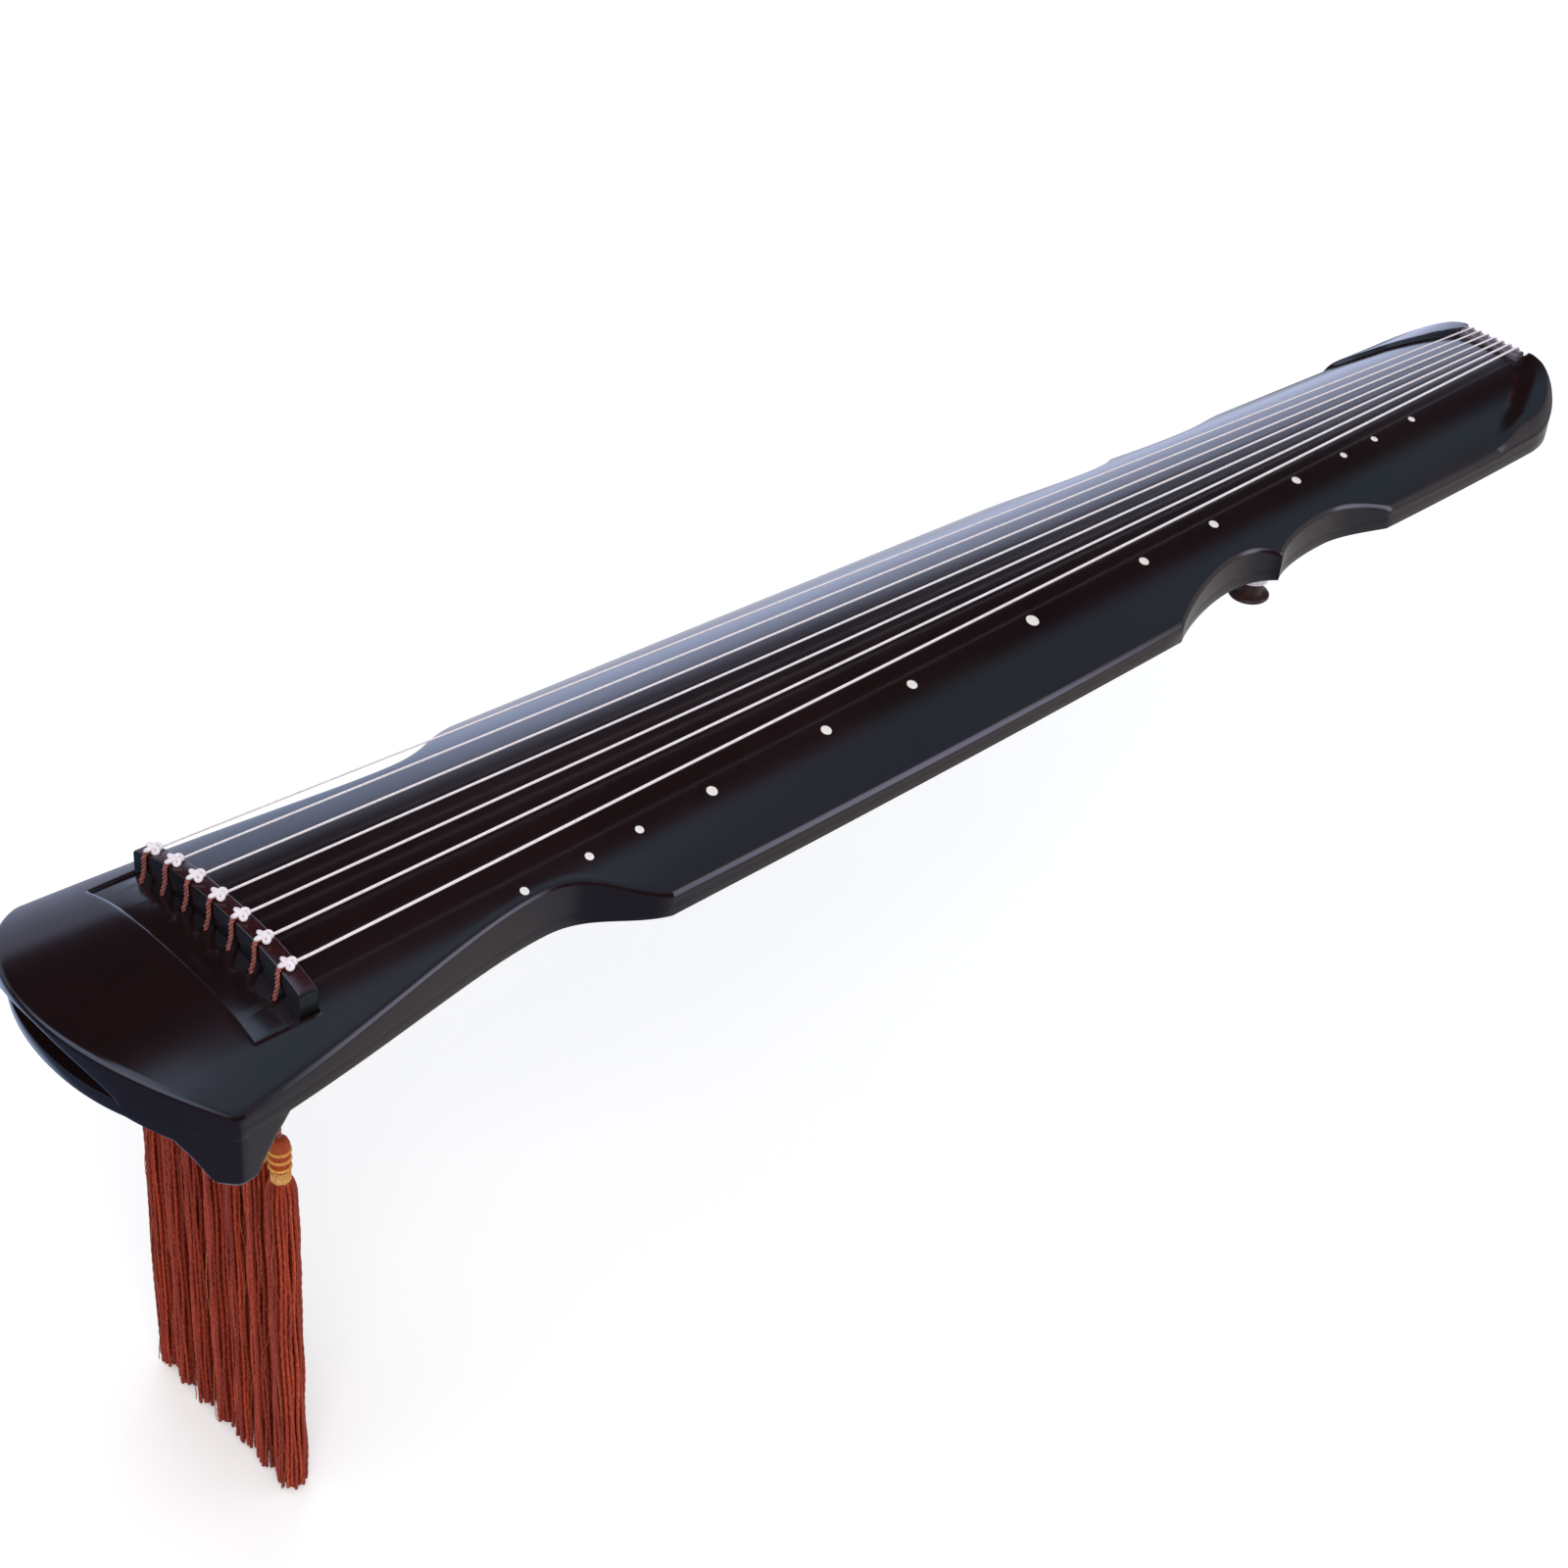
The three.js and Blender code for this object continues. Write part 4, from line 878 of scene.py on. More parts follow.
def flat_boards():
    ponds = [rounded_rectangle(start, start + length, POND_WIDTH / 2, POND_CORNER) for start, length in PONDS]
    flat_board("lacquered_base", [whole_line(half_outline(FRONT_INSET))[:-1], pool_outline(0, 1.5), *ponds],
               0, BASE_THICKNESS, 0.15, "bottom_board")
    holes = [disc_line(-CORD_HOLE_AT, peg_y(i), CORD_HOLE_RADIUS) for i in range(STRING_COUNT)]
    flat_board("peg_pool_panel", [pool_outline(CLEARANCE, 1.2), *holes], POOL_DEPTH, BASE_THICKNESS, 0.3,
               "peg_pool_board")


def crown_inner_line():
    """The inner edge of a corner plate."""
    start = END_FACE_AT - CROWN_LENGTH
    places = [(start, float(arch_half_width_at(start))),
              (END_FACE_AT - CROWN_BEND_SETBACK, CROWN_HALF_WIDTH_AT_BEND),
              (STRING_LENGTH - CLEARANCE, NUT_HALF_LENGTH + 2 * CLEARANCE)]
    curves = [bezier([here, between(here, there, *shares), there])
              for here, there, shares in zip(places, places[1:], CROWN_HANDLE_SHARES)]
    return np.vstack([places[:1], *curves])


def crown_raise(x, y):
    """How far a corner plate stands above the arch."""
    start = END_FACE_AT - CROWN_LENGTH
    reached = np.maximum(0, (x - start) / (TAIL_TIP_AT - start)) ** CROWN_RISE_POWER
    along = CROWN_START_SHARE + (1 - CROWN_START_SHARE) * reached
    across = np.clip((np.abs(y) - CHANNEL_HALF_WIDTH) / (SIDE_PLACES[8][1] - CHANNEL_HALF_WIDTH), 0, 1)
    nose = 1 - (1 - np.clip((x - start) / CROWN_NOSE, 0, 1)) ** 2
    return along * CROWN_INNER_RAISE * (1 - across) + nose * CROWN_OUTER_RAISE * across


def crown_corner(label):
    """A raised plate at the tail's corner, with a soft inner edge and the body's own outline."""
    side = SIDES[label]
    start = END_FACE_AT - CROWN_LENGTH
    outer = OUTLINE[(OUTLINE[:, 0] > start) & (OUTLINE[:, 1] > CHANNEL_HALF_WIDTH + 0.01)]
    outer = np.vstack([[(start, float(half_width_at(start)))], outer, [(END_FACE_AT, CHANNEL_HALF_WIDTH)]])
    inner, outer = [resampled(line, np.linspace(0, 1, CROWN_ROWS)) for line in (crown_inner_line(), outer)]
    width = CROWN_RIM[-1]
    places, steps_in = [], []
    for a, b in zip(inner, outer):
        span = max(np.linalg.norm(b - a), 0.05)
        even = np.linspace(width, span - width, CROWN_COLUMNS)[1:-1]
        steps = np.concatenate([CROWN_RIM, even, span - CROWN_RIM[::-1]])
        if span < CROWN_NARROW:
            steps = np.linspace(0, span, len(steps))
        places.append(a + (b - a) * (steps / span)[:, None])
        steps_in.append(steps)
    places = np.array(places)
    x, y = places[..., 0], places[..., 1]
    share = soft_step(np.array(steps_in), 0, CROWN_SOFT_EDGE[label])
    rounding = np.interp(y, CROWN_ROUNDED, (EDGE_ROUNDING, CROWN_ROUNDING))
    low = top_height(x, y) - CROWN_SINK
    drop = rounded_drop(distance_to_line(places, OUTLINE), rounding)
    high = top_height(x, y) + crown_raise(x, y) * share - drop
    rings = [[*zip(xs, ys, tops), (xs[-1], ys[-1], floors[-1]), (xs[0], ys[0], floors[0])]
             for xs, ys, tops, floors in zip(x, side * y, np.maximum(high, low + CROWN_THINNEST), low)]
    plate = lofted(f"crown_plate_{label}", rings)
    corners = np.array([corner.co / MM for corner in plate.data.vertices]) * [1, side, 1]
    from_seam = distance_to_line(corners[:, None, :2], inner)[:, 0]
    add_share(plate, "edge", np.clip(1 - from_seam / CROWN_WEAR_WIDTH, 0, 1) * CROWN_WEAR[label])
    finished(plate, "lacquer", LACQUER, f"crown_corner_{label}")


def guard(label):
    """The foot under a corner of the head, drawn down to a rounded tip that shields the pegs."""
    outline = half_outline(FRONT_INSET, GUARD_CURVE_STEPS)[:GUARD_OUTLINE_POINTS]
    front_part, side_part = outline[:GUARD_CURVE_STEPS + 1], outline[GUARD_CURVE_STEPS + 1:]
    front_edge, back_edge = smooth_line(GUARD_FRONT), smooth_line(GUARD_BACK)
    tip = GUARD_DROP - GUARD_TIP_ROUNDING
    rounded = tip + GUARD_TIP_ROUNDING * np.sin(np.linspace(0.15, 1, GUARD_TIP_LEVELS) * pi / 2)
    drops = np.concatenate([[-GUARD_OVERLAP], np.linspace(0, tip, GUARD_LEVELS), rounded])
    order = np.arange(GUARD_OUTER_STEPS + GUARD_INNER_STEPS)
    steps_away = np.minimum.reduce([order, np.abs(order - GUARD_OUTER_STEPS), len(order) - order])
    near_edges = np.clip(1 - steps_away / GUARD_SMOOTH_REACH, 0, 1)[:, None]
    rings = []
    for drop in drops:
        level = max(drop, 0)
        heel_x = np.interp(level, -back_edge[:, 1], back_edge[:, 0])
        inner_y = np.interp(level, -front_edge[:, 1], front_edge[:, 0])
        front_x = np.interp(inner_y, front_part[:, 1], front_part[:, 0])
        side_y = np.interp(heel_x, side_part[:, 0], side_part[:, 1])
        between_ends = [p for p in outline if p[1] > inner_y and p[0] < heel_x]
        outer = resampled([(front_x, inner_y), *between_ends, (heel_x, side_y)],
                          np.linspace(0, 1, GUARD_OUTER_STEPS + 1))
        inner = bezier([outer[-1], (heel_x - 1, inner_y + 1), outer[0]], GUARD_INNER_STEPS)[:-1]
        ring = np.vstack([outer, inner])
        for _ in range(GUARD_SMOOTHINGS):
            ring = ring + (np.roll(ring, 1, 0) - 2 * ring + np.roll(ring, -1, 0)) / 4 * near_edges
        rounding = np.clip((drop - tip) / GUARD_TIP_ROUNDING, 0, 1)
        middle = ring.mean(0)
        ring = middle + (ring - middle) * sqrt(max(1 - rounding ** 2, 0.02))
        rings.append(placed(ring[:, 0], SIDES[label] * ring[:, 1], -drop))
    finished(lofted(f"head_guard_{label}", rings, radians(50)), "lacquer", LACQUER, f"peg_guard_{label}")


# Bridge, plate and nuts

def peg_y(index):
    return (index - (STRING_COUNT - 1) / 2) * BRIDGE_PITCH + STRING_SHIFT


def arched_bar(name, start, end, half, low_offset, high_offset, rounding, steps=60):
    """A bar across the body that follows the arch, with rounded edges."""
    rim = np.array([0, 0.15, 0.5, 1.0]) * rounding
    along = np.concatenate([start + rim, end - rim[::-1]])
    even = np.linspace(-half + rounding, half - rounding, steps)[1:-1]
    across = np.concatenate([-half + rim, even, half - rim[::-1]])
    plan = np.dstack(np.meshgrid(along, across, indexing="ij"))
    x, y = plan[..., 0], plan[..., 1]
    arch = top_height((start + end) / 2, y)
    away = np.minimum(np.minimum(x - start, end - x), half - np.abs(y))
    return between_heights(name, plan, arch + high_offset - rounded_drop(away, rounding), arch + low_offset)


def bridge():
    bar = arched_bar("bridge_bar", -BRIDGE_THICKNESS, 0, BRIDGE_HALF_LENGTH, -BRIDGE_SINK, BRIDGE_HEIGHT,
                     BRIDGE_ROUNDING)
    corners = [corner.co / MM for corner in bar.data.vertices]
    # The top 0.6 mm of the bridge is coloured dark red
    add_share(bar, "edge", [float(z > bridge_top_at(y) - RED_TOP_DEPTH) for _, y, z in corners])
    finished(bar, "ebony", EBONY, "bridge")


def peg_hole_plate():
    plate = arched_bar("peg_hole_panel", PLATE_START - CLEARANCE, PLATE_START + PLATE_WIDTH + CLEARANCE,
                       BRIDGE_HALF_LENGTH + CLEARANCE, -PLATE_RECESS - PLATE_THICKNESS, -PLATE_RECESS, 0.1)
    profile = [(CORD_HOLE_RADIUS, 20), (CORD_HOLE_RADIUS, 60)]
    drill = joined("drills", [
        lathe(f"drill_{i}", profile, (-CORD_HOLE_AT, peg_y(i), 0), 24) for i in range(STRING_COUNT)])
    cut = plate.modifiers.new("holes", "BOOLEAN")
    cut.object, cut.operation, cut.solver = drill, "DIFFERENCE", "EXACT"
    plate = baked(plate)
    bpy.data.objects.remove(drill)
    plate.data.set_sharp_from_angle(angle=radians(30))
    finished(plate, "ebony", POLISHED_EBONY, "peg_hole_plate")


def saddle(name, section, material, node):
    """A nut at the tail, with one section all along."""
    rings = [[(x, y, z) for x, z in section] for y in np.linspace(-NUT_HALF_LENGTH, NUT_HALF_LENGTH, 9)]
    finished(lofted(name, rings), "ebony", material, node)


def saddles():
    """The nut and the lower nut, rounded where the strings turn over them."""
    arc, turn_x = np.linspace(0, pi / 2, 10), END_FACE_AT - NUT_ROUNDING
    front = [(STRING_LENGTH + NUT_FRONT * (1 - sin(a)), NUT_TOP - NUT_FRONT * (1 - cos(a)))
             for a in arc[::-1]]
    over = [(turn_x + NUT_ROUNDING * sin(a), NUT_TOP - NUT_ROUNDING * (1 - cos(a))) for a in arc]
    under = [(turn_x + NUT_ROUNDING * cos(a), NUT_ROUNDING * (1 - sin(a))) for a in arc]
    saddle("upper_saddle", [(STRING_LENGTH, NUT_BOTTOM), *front, *over, (END_FACE_AT, NUT_BOTTOM)],
           NUT_PAINTED_SHEEN, "nut")
    saddle("lower_saddle", [(STRING_LENGTH, LOWER_NUT_HEIGHT), (END_FACE_AT, LOWER_NUT_HEIGHT), *under,
                            (STRING_LENGTH, 0)], EBONY, "lower_nut")


# Strings, knots and loops

def string_radius(index):
    return (THICKEST_STRING - STRING_THINNING * index) / 2


def winding(index, start):
    """The turns of a string round its goose foot, below those of the strings before it."""
    side, first = (-1, 0) if index < NEAR_FOOT_STRINGS else (1, NEAR_FOOT_STRINGS)
    pitch = 2 * string_radius(index) + WINDING_GAP
    layer, place = divmod(index - first, 2)
    drop = place * (WINDING_TURNS + WINDING_SPARE) * (THICKEST_STRING + WINDING_GAP)
    centre = np.array([FOOT_AT, side * FOOT_OFFSET])
    radius = FOOT_WAIST_RADIUS + string_radius(index) + LAYER_GAP + layer * (THICKEST_STRING + LAYER_GAP)
    away = start[:2] - centre
    begin = atan2(away[1], away[0]) - side * acos(radius / np.linalg.norm(away))
    top = -FOOT_FLANGE_HEIGHT - WINDING_DROP - string_radius(index) - drop
    turns = np.linspace(0, WINDING_TURNS, int(WINDING_STEPS * WINDING_TURNS) + 1)
    return round_axis(centre, radius, begin - side * tau * turns, top - pitch * turns)


def string_route(index):
    """From the knot over the nut, along the underside and round the goose foot."""
    lift = string_radius(index) + STRING_LIFT
    y, start_y = (index - (STRING_COUNT - 1) / 2) * NUT_PITCH, peg_y(index)
    arc, turn_x = np.linspace(0, pi / 2, 9), END_FACE_AT - NUT_ROUNDING
    reach, rest = NUT_ROUNDING + lift, bridge_top_at(start_y) + lift
    start = placed([BRIDGE_MIDDLE, -1.0, 8.0], start_y, [rest + 0.8, rest, rest - 0.05])
    over = placed(turn_x + reach * np.sin(arc), y, NUT_TOP - NUT_ROUNDING + reach * np.cos(arc))
    under = placed(turn_x + reach * np.cos(arc), y, NUT_ROUNDING - reach * np.sin(arc))
    leave = np.array([END_FACE_AT - 2 * NUT_ROUNDING, y, -lift])
    return np.vstack([start, over, under, [leave], winding(index, leave)])


def knot_line(index):
    """One cord drawn round four lobes, over and under itself."""
    y = peg_y(index)
    angles = np.linspace(0, tau, 97)[:-1]
    lobes = np.abs(np.cos(2 * angles + KNOT_TURN)) ** KNOT_LOBE_POWER
    reach = KNOT_SPAN / 2 * (KNOT_WAIST + (1 - KNOT_WAIST) * lobes) - KNOT_INSET
    height = bridge_top_at(y) + KNOT_LIFT + KNOT_WAVE * np.sin(4 * angles)
    return round_axis((KNOT_AT, y), reach, angles, height)


def dressed_string(index):
    """A string with its knot on the bridge."""
    number, y = index + 1, peg_y(index)
    run = plain_tube(f"run_{number}", string_route(index), string_radius(index))
    knot = plain_tube(f"knot_{number}", knot_line(index), KNOT_CORD_RADIUS, True)
    heart = lathe(f"heart_{number}", [
        (0.05, 2.0), (1.2, 1.75), (2.0, 1.0), (2.3, 0), (2.0, -1.0), (1.2, -1.75), (0.05, -2.0)],
        (KNOT_AT, y, bridge_top_at(y) + KNOT_HEART_LIFT), 20)
    finished(joined(f"white_string_{number}", [run, knot, heart]), "string", STRING, f"string_{number}")


def tuning_loop(index):
    """A twisted cord from under the knot, down the bridge's face and through the head to the peg."""
    y, radius = peg_y(index), LOOP_DIAMETER / 2
    crest = bridge_top_at(y)
    face = -BRIDGE_THICKNESS - radius
    plate = float(top_height(-CORD_HOLE_AT, y)) - PLATE_RECESS
    route = smooth_line([(x, y, z) for x, z in (
        (BRIDGE_MIDDLE + 1.0, crest + radius), (-BRIDGE_THICKNESS + 1.5, crest + radius + 0.3),
        (face + 0.2, crest - 0.4), (face, crest - 4), (face - 0.2, (crest + plate) / 2),
        (face - 0.9, plate + 4), (-CORD_HOLE_AT + 0.4, plate + 0.5), (-CORD_HOLE_AT, plate - 3),
        (-CORD_HOLE_AT, plate - 12), (-CORD_HOLE_AT, POOL_DEPTH + 1))], 6)
    cord = cord_piece(f"twisted_loop_{index + 1}", [route], LOOP_SILK, 2, 0.62, pitch=5.4, per_turn=12,
                      sides=8)
    finished(cord, "loop_silk", LOOP_SILK, f"tuning_loop_{index + 1}")


# Inlays and feet

def inlay(index):
    """A round mother-of-pearl marker, square to the surface and very slightly domed."""
    node = f"inlay_{index + 1:02d}"
    low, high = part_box(node)
    radius = (high.x - low.x) / 2 / MM
    share = INLAY_SHARES[index]
    x, y = share * STRING_LENGTH, -(INLAY_LINE[0] + (INLAY_LINE[1] - INLAY_LINE[0]) * share)
    tilt = atan2(float(top_height(x, y + 1) - top_height(x, y - 1)), 2)
    disc = lathe(f"pearl_{index + 1:02d}", [
        (radius, -1), (radius, 0.0), (radius - 0.12, 0.09), (radius * 0.6, 0.16), (radius * 0.3, 0.18),
        (0.02, 0.19)], (0, 0, 0), 40)
    disc.data.transform(Matrix.Translation(Vector((x, y, float(top_height(x, y)))) * MM)
                        @ Matrix.Rotation(tilt, 4, "X"))
    finished(disc, "pearl", PEARL, node)


def goose_foot(label):
    """A turned foot with a wide sole, a narrow waist for the strings and a collar."""
    wide, waist, tenon = FOOT_HALF_WIDTH, FOOT_WAIST_RADIUS, FOOT_TENON_RADIUS
    collar = FOOT_HEIGHT - FOOT_FLANGE_HEIGHT
    profile = [
        (0.05, 0), (wide - 2, 0), (wide - 0.8, 0.4), (wide, 1.4), (wide, 2.6), (wide - 0.6, 3.4),
        (waist + 1.4, 4.2), (waist + 0.4, 4.9), (waist, 6), (waist, collar - 0.8),
        (waist + 0.6, collar - 0.3), (wide - 1, collar), (wide - 0.2, collar + 0.6),
        (wide, FOOT_HEIGHT - 1.1), (wide - 0.4, FOOT_HEIGHT - 0.3),
        (wide - 1.2, FOOT_HEIGHT), (tenon, FOOT_HEIGHT), (tenon, FOOT_HEIGHT + FOOT_TENON_LENGTH),
        (0.05, FOOT_HEIGHT + FOOT_TENON_LENGTH)]
    foot = lathe(f"turned_foot_{label}", profile, (FOOT_AT, SIDES[label] * FOOT_OFFSET, -FOOT_HEIGHT), 64)
    finished(foot, "dark_wood", TURNED_WOOD, f"goose_foot_{label}")


# Pegs and tassels

def peg(index):
    """A bored tuning peg with a flange, a neck and a fluted grip."""
    top, bore = PEG_LENGTH, CORD_HOLE_RADIUS
    profile = [
        (bore, 0), (3.9, 0), (4.7, 0.4), (5.1, 1.2, 0.5), (5.7, 4, 1), (6.3, 9, 1), (6.4, 14, 1),
        (6.4, 19, 1), (6.2, 22.5, 0.9), (5.2, 24.2, 0.3), (4.4, 25, 0), (4.2, 26), (4.2, top - 4.2),
        (4.5, top - 3.2), (5.6, top - 2.4), (6.2, top - 1.8), (6.2, top - 0.4), (5.9, top), (bore, top),
        (bore, 0.02)]
    place = (-CORD_HOLE_AT, peg_y(index), PEG_BOTTOM)
    turned = lathe(f"tuning_peg_{index + 1}", profile, place, 60, 10, 0.12)
    finished(turned, "dark_wood", TURNED_WOOD, f"peg_{index + 1}", body=f"peg_{index + 1}")


# Rings of strands in a tassel, as (how many, how far out), and the thin stray ones
STRAND_RINGS = [(20, 7.9), (13, 5.7), (8, 3.3)]
STRAND_RADIUS, STRAND_SWAY = 1.06, 0.45
STRAY_STRANDS, STRAY_RADIUS, STRAY_SWAY, STRAY_REACH = 2, 0.28, 1.6, 0.9
NECK_RADIUS = 4.9
CORE_RADIUS = 2.6
STRAND_POINTS = 120
FIRST_SEED = 40

# How many slow waves and fine crinkles a strand has, how far a crinkle moves it, and how lengths differ
WAVES, CRINKLES = (1.2, 4), (22, 34)
CRINKLE_SWAY, LENGTH_SPREAD = 0.16, 0.022

# Places down a tassel, from its knot to the top of its head and from there on
HEAD_AT = 24
WRAPS_AT, WRAP_STEP, WRAP_COUNT, WRAP_RADIUS, WRAP_PITCH = 8.4, 5.6, 3, 5.5, 0.3
BINDING_AT, BINDING_TURNS, BINDING_RADIUS, BINDING_PITCH = 22, 10, 5.15, 0.86
STRANDS_AT, CORE_AT, CORE_END = 29.5, 33, 14


def strand_line(index, dice, angle, radius, top, bottom, sway):
    """One strand from under the binding: out at once, then down with a slow wave and a fine crinkle."""
    down = np.linspace(0, 1, STRAND_POINTS)
    neck = min(radius, NECK_RADIUS)
    spread = neck + (radius - neck) * np.sqrt(np.clip(down * 22, 0, 1))
    fade = np.clip(down * 6, 0, 1)
    shift = [fade * sum(reach * np.sin(tau * (down * dice.uniform(*count) + dice.uniform()))
                        for reach, count in ((sway, WAVES), (CRINKLE_SWAY, CRINKLES))) for _ in range(2)]
    length = (bottom - top) * (1 - LENGTH_SPREAD * dice.uniform())
    x, y = -CORD_HOLE_AT + spread * cos(angle), peg_y(index) + spread * sin(angle)
    return placed(x + shift[0], y + shift[1], top + length * down)


def strand_lines(index, top, bottom):
    """The thick strands of a tassel, ring by ring, and its thin stray ones."""
    dice = np.random.default_rng(FIRST_SEED + index)
    thick = [strand_line(index, dice, tau * (k + dice.uniform(-0.25, 0.25)) / count, radius, top, bottom,
                         STRAND_SWAY) for count, radius in STRAND_RINGS for k in range(count)]
    reach = STRAND_RINGS[0][1] + STRAY_REACH
    stray = [strand_line(index, dice, dice.uniform(0, tau), reach, top, bottom, STRAY_SWAY)
             for _ in range(STRAY_STRANDS)]
    return thick, stray


def ring_line(index, radius, height, turns, pitch, steps=24):
    """Turns of a thread round a tassel's neck."""
    angles = np.linspace(0, tau * turns, int(steps * turns) + 1)
    return round_axis((-CORD_HOLE_AT, peg_y(index)), radius, angles, height - pitch * angles / tau)


def tassel(index):
    """Cord, knot, bound head with three gold wraps, pale binding and twisted silk strands."""
    number, x, y = index + 1, -CORD_HOLE_AT, peg_y(index)
    top, bottom = TASSEL_PIVOT - HEAD_AT, TASSEL_PIVOT - TASSEL_LENGTH
    knot = lathe(f"tassel_knot_{number}", [
        (0.05, TASSEL_KNOT_REACH), (1.3, 1.8), (2.2, 0.6), (2.2, -0.6), (1.4, -1.8),
        (0.05, -TASSEL_KNOT_REACH)], (x, y, TASSEL_PIVOT), 20)
    cord = cord_piece(f"tassel_cord_{number}", [[(x, y, TASSEL_PIVOT), (x, y, top - 2)]], LOOP_SILK, 2, 0.6,
                      per_turn=12, sides=8)
    head = lathe(f"tassel_head_{number}", [
        (0.05, 0), (2.4, -0.3), (4.4, -1.8), (5.5, -4.6), (5.7, -7, 1), (5.2, -8.4, 1), (5.6, -11, 1),
        (5.2, -14, 1), (5.5, -17, 1), (5.1, -19.6, 1), (4.9, -23, 1), (4.9, -31.5, 1), (5.4, -34, 1),
        (0.05, -34.2)], (x, y, top), 72, 24, 0.07)
    wraps = [ring_line(index, WRAP_RADIUS, top - WRAPS_AT - WRAP_STEP * k, 1, WRAP_PITCH)
             for k in range(WRAP_COUNT)]
    gold = cord_piece(f"gold_wraps_{number}", wraps, GOLD, 2, 0.45, 0.6, 2.6, 10)
    bound = ring_line(index, BINDING_RADIUS, top - BINDING_AT, BINDING_TURNS, BINDING_PITCH)
    binding = cord_piece(f"pale_binding_{number}", [bound], PALE_SILK, radius=0.46, pitch=4, per_turn=8)
    thick, stray = strand_lines(index, top - STRANDS_AT, bottom)
    core = placed(x, y, np.linspace(top - CORE_AT, bottom + CORE_END, STRAND_POINTS))
    skirt = joined(f"silk_strands_{number}", [
        cord_piece(f"strands_{number}", thick, TASSEL_SILK, radius=STRAND_RADIUS, pitch=8, seed=index),
        cord_piece(f"inner_strands_{number}", [core], TASSEL_SILK, radius=CORE_RADIUS, pitch=12, sides=8,
                   seed=index + 90)])
    strays = cord_piece(f"stray_threads_{number}", stray, STRAY_GLINT_SILK, radius=STRAY_RADIUS, pitch=8, sides=5,
                        seed=index + 50)
    for piece, slot, material, *replaced in (
            (knot, "loop_silk", LOOP_SILK), (cord, "loop_silk", LOOP_SILK),
            (head, "tassel_silk", HEAD_SILK), (gold, "gold_thread", GOLD),
            (binding, "tassel_silk", PALE_SILK), (strays, "tassel_silk", STRAY_GLINT_SILK),
            (skirt, "tassel_silk", TASSEL_SILK, f"tassel_{number}")):
        finished(piece, slot, material, *replaced, body=f"tassel_{number}")


# Floor and light

WORLD_LIGHT = 0.75
FLOOR_LIFT = 0.22
FLOOR_REACH = 9000

# What the lacquer mirrors: the tent's own shade, and soft panels on it, each with its middle,
# its half size and the width of its soft edge in degrees (round from the tail's end towards the
# far side, and up), and its colour
TENT_SHADE = (0.012, 0.01, 0.012)
TENT_RADIUS = 5.0
TENT_MIDDLE = [400, 0, 0]
TENT_PANELS = {
    "far_low": ((62, -18), (27, 15), (6, 9), (0.74, 0.78, 0.95)),
    "far": ((44, 8), (26, 15.5), (9, 6), (1.16, 1.33, 1.9)),
    "far_tail": ((32, 8), (17, 15.5), (6, 2.5), (1.16, 1.3, 1.8)),
    "far_side": ((86, 4), (25, 18), (8, 4), (0.66, 0.82, 1.2)),
    "far_head": ((97, -2), (28, 24), (4, 6), (0.38, 0.42, 0.58)),
    "near": ((-62, 60), (60, 34), (7, 7), (0.16, 0.29, 0.4)),
    "near_high": ((-62, 76), (60, 20), (7, 5), (0.3, 0.5, 0.67)),
    "over": ((0, 90), (180, 14.5), (1, 3), (1.0, 1.3, 1.8)),
    "over_front": ((185, 46), (55, 30), (12, 8), (1.3, 1.6, 2.2)),
    "near_tail": ((-22, 7), (20, 16), (6, 5), (0.42, 0.43, 0.48)),
    "near_strip": ((-51, 4), (8.5, 20), (2.5, 5), (2.3, 2.3, 3.1)),
    "low_near": ((-18, -38), (42, 24), (6, 8), (0.42, 0.41, 0.42)),
    "low_head": ((-95, -38), (45, 24), (8, 8), (0.31, 0.39, 0.47)),
    "low_front": ((-170, -34), (80, 26), (14, 10), (0.06, 0.12, 0.22)),
    "under_front": ((82, -52), (42, 15), (8, 6), (0.6, 0.75, 1.1)),
    "under": ((0, -90), (180, 26), (1, 8), (0.7, 0.85, 1.2)),
}


def add_floor():
    """A white floor that keeps the object's shadow."""
    corners = [(-FLOOR_REACH, -FLOOR_REACH), (FLOOR_REACH, -FLOOR_REACH), (FLOOR_REACH, FLOOR_REACH),
               (-FLOOR_REACH, FLOOR_REACH)]
    floor = mesh_piece("floor", [(*corner, FLOOR_HEIGHT) for corner in corners], [(0, 1, 2, 3)])
    material, nodes, surface = new_material("white_floor", 0.9, Specular_IOR_Level=0.0,
                                            Base_Color=(0.94, 0.94, 0.94, 1), Emission_Color=(1, 1, 1, 1))
    seen = nodes.add("ShaderNodeLightPath").outputs["Is Camera Ray"]
    nodes.feed(surface, "Emission Strength", nodes.math("MULTIPLY", seen, FLOOR_LIFT))
    floor.data.materials.append(material)
    floor.visible_glossy = False


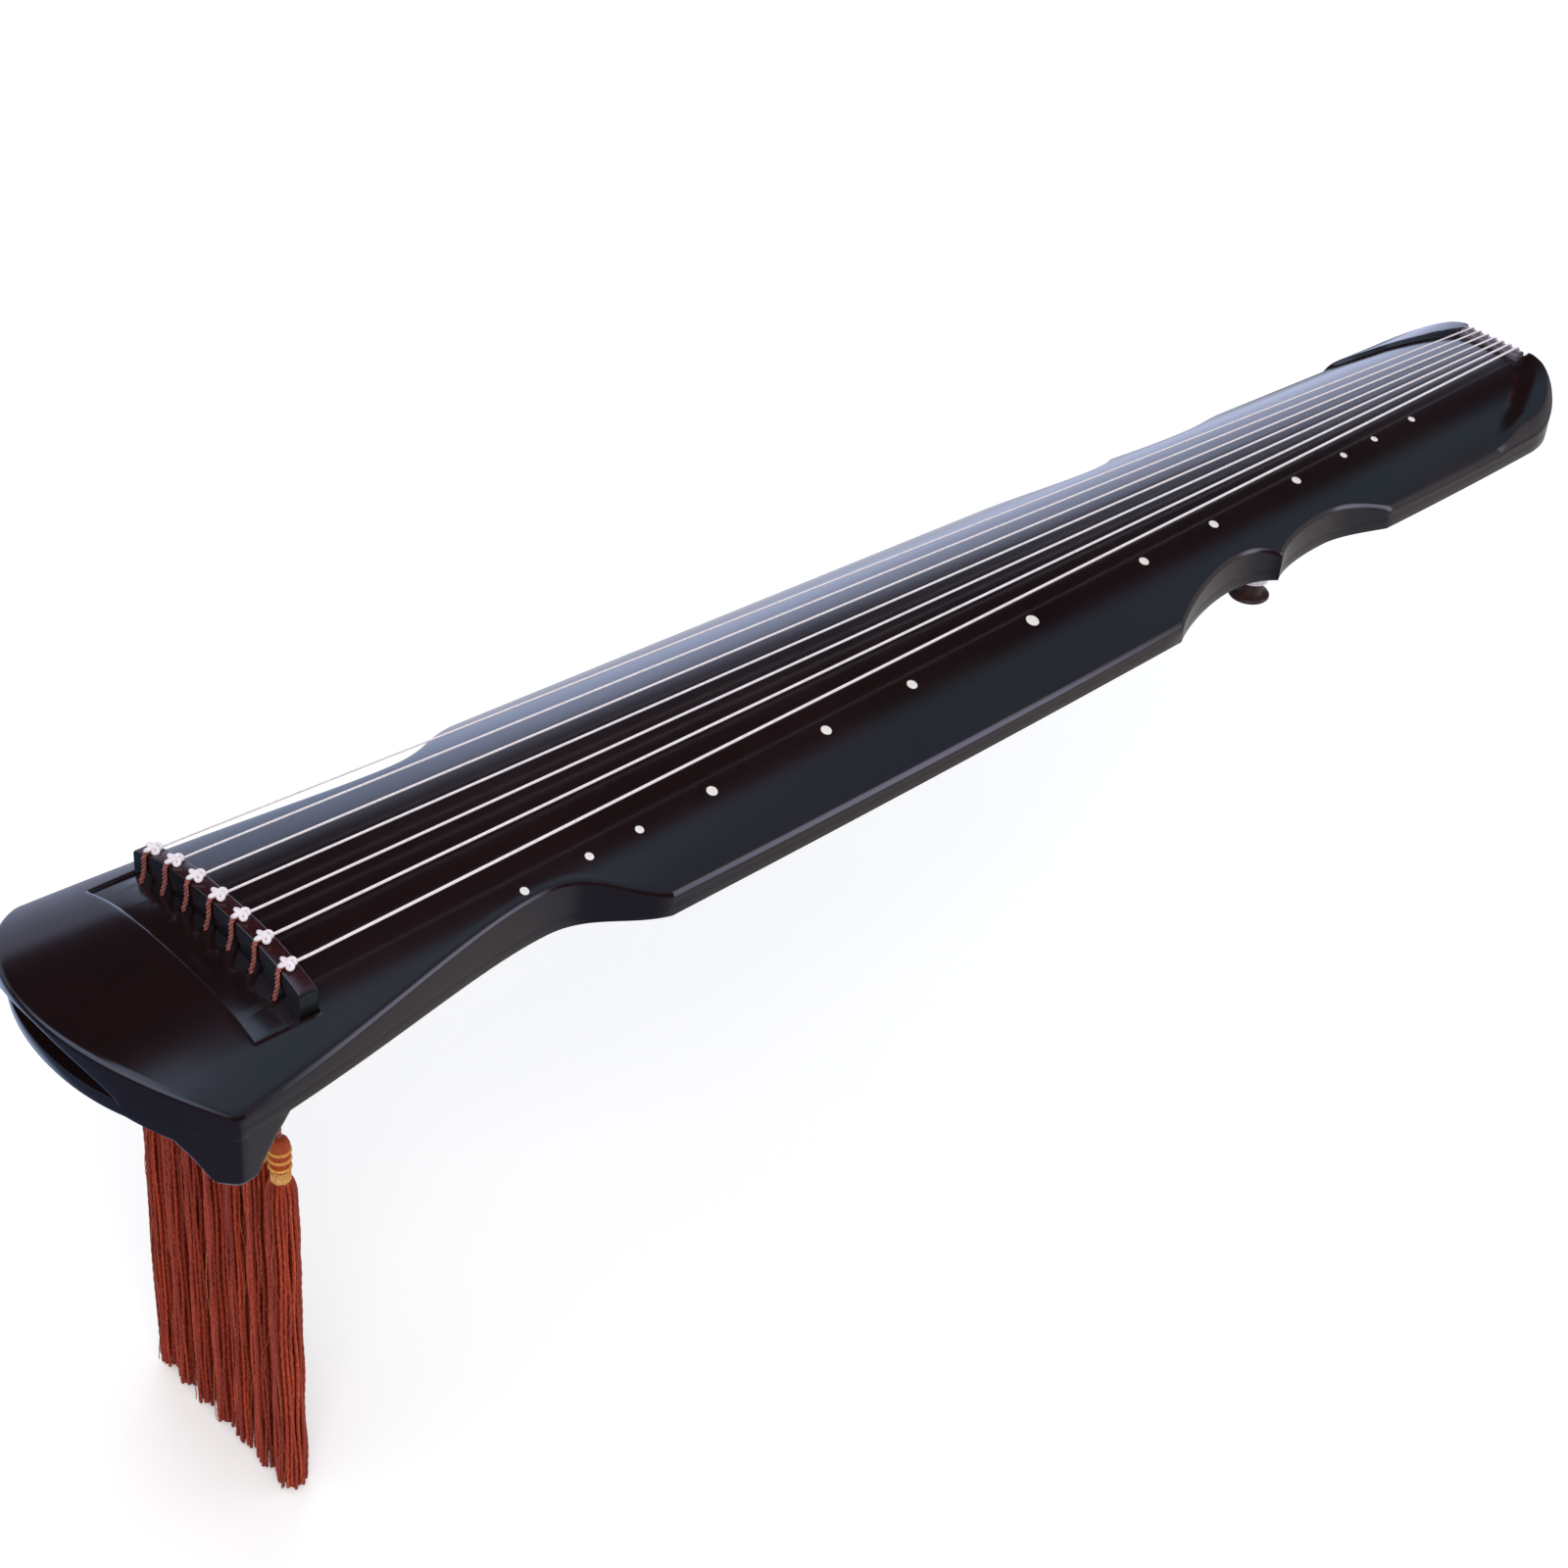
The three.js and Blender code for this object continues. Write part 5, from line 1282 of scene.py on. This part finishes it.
def add_tent():
    """The studio tent round the object: only the gloss shows it."""
    turns, rises = np.radians(np.arange(0, 360, 2)), np.radians(np.arange(-90, 91, 2))
    around, up = np.meshgrid(turns, rises, indexing="ij")
    points = TENT_RADIUS / MM * placed(np.cos(up) * np.cos(around), np.cos(up) * np.sin(around), np.sin(up))
    rows, columns = around.shape
    faces = [tuple(corner % (rows * columns) for corner in face) for face in grid_faces(rows + 1, columns)]
    tent = mesh_piece("studio_tent", points.reshape(-1, 3) + TENT_MIDDLE, faces)
    shade = np.ones((rows, columns, 3)) * TENT_SHADE
    for middle, half, edge, tint in TENT_PANELS.values():
        away = np.abs((np.degrees(around) - middle[0] + 180) % 360 - 180)
        rise = np.abs(np.degrees(up) - middle[1])
        mask = ((1 - soft_step(away, half[0] - edge[0], half[0] + edge[0]))
                * (1 - soft_step(rise, half[1] - edge[1], half[1] + edge[1])))
        shade = shade + (np.array(tint) - shade) * mask[..., None]
    glow = tent.data.color_attributes.new("glow", "FLOAT_COLOR", "POINT")
    glow.data.foreach_set("color", np.dstack([shade, np.ones((rows, columns))]).ravel())
    material, nodes, surface = new_material("tent_cloth", 1.0, Specular_IOR_Level=0.0,
                                            Base_Color=(0, 0, 0, 1), Emission_Strength=1.0)
    nodes.feed(surface, "Emission Color", nodes.own("glow", "Color"))
    material.cycles.emission_sampling = "NONE"
    tent.data.materials.append(material)
    tent.visible_camera = tent.visible_diffuse = tent.visible_shadow = tent.visible_transmission = False


def add_light(name, place, target, size, power, tint):
    data = bpy.data.lights.new(name, "AREA")
    data.shape, data.size, data.size_y = "RECTANGLE", *size
    data.energy, data.color = power, tint
    light = new_object(name, data)
    light.matrix_world = turned_towards(Vector(place), Vector(target))
    light.visible_glossy = False


def add_world():
    """Even soft light from all round, and white behind everything."""
    world = bpy.data.worlds.new("studio")
    bpy.context.scene.world = world
    world.use_nodes = True
    nodes = Nodes(world.node_tree)
    path = nodes.add("ShaderNodeLightPath").outputs
    seen = nodes.math("MAXIMUM", path["Is Camera Ray"],
                      nodes.math("MAXIMUM", path["Is Glossy Ray"], path["Is Transmission Ray"]))
    soft = nodes.add("ShaderNodeBackground", ("Color", (0.97, 0.98, 1, 1)), ("Strength", WORLD_LIGHT))
    white = nodes.add("ShaderNodeBackground", ("Color", (1, 1, 1, 1)), ("Strength", 1.0))
    mix = nodes.add("ShaderNodeMixShader", (0, seen), (1, soft.outputs[0]), (2, white.outputs[0]))
    nodes.add("ShaderNodeOutputWorld", ("Surface", mix.outputs[0]))


# Making it all

add_camera()
top_board()
flat_boards()
for label in SIDES:
    crown_corner(label)
    guard(label)
    goose_foot(label)
bridge()
peg_hole_plate()
saddles()
for i in range(len(INLAY_SHARES)):
    inlay(i)
for i in range(STRING_COUNT):
    dressed_string(i)
    tuning_loop(i)
    peg(i)
    tassel(i)
for name in ("heaven_post", "earth_post"):
    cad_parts[name].data.materials.clear()
    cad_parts[name].data.materials.append(BARE_WOOD)

add_floor()
add_tent()
add_world()
add_light("key_panel", (-1.2, -2.0, 2.6), (0.3, 0, 0), (1.8, 1.8), 42, (1, 0.98, 0.96))
add_light("far_panel", (1.8, 2.6, 1.6), (0.4, 0, 0), (2.4, 1.2), 22, (0.86, 0.92, 1))

bpy.context.scene.view_settings.view_transform = "Standard"
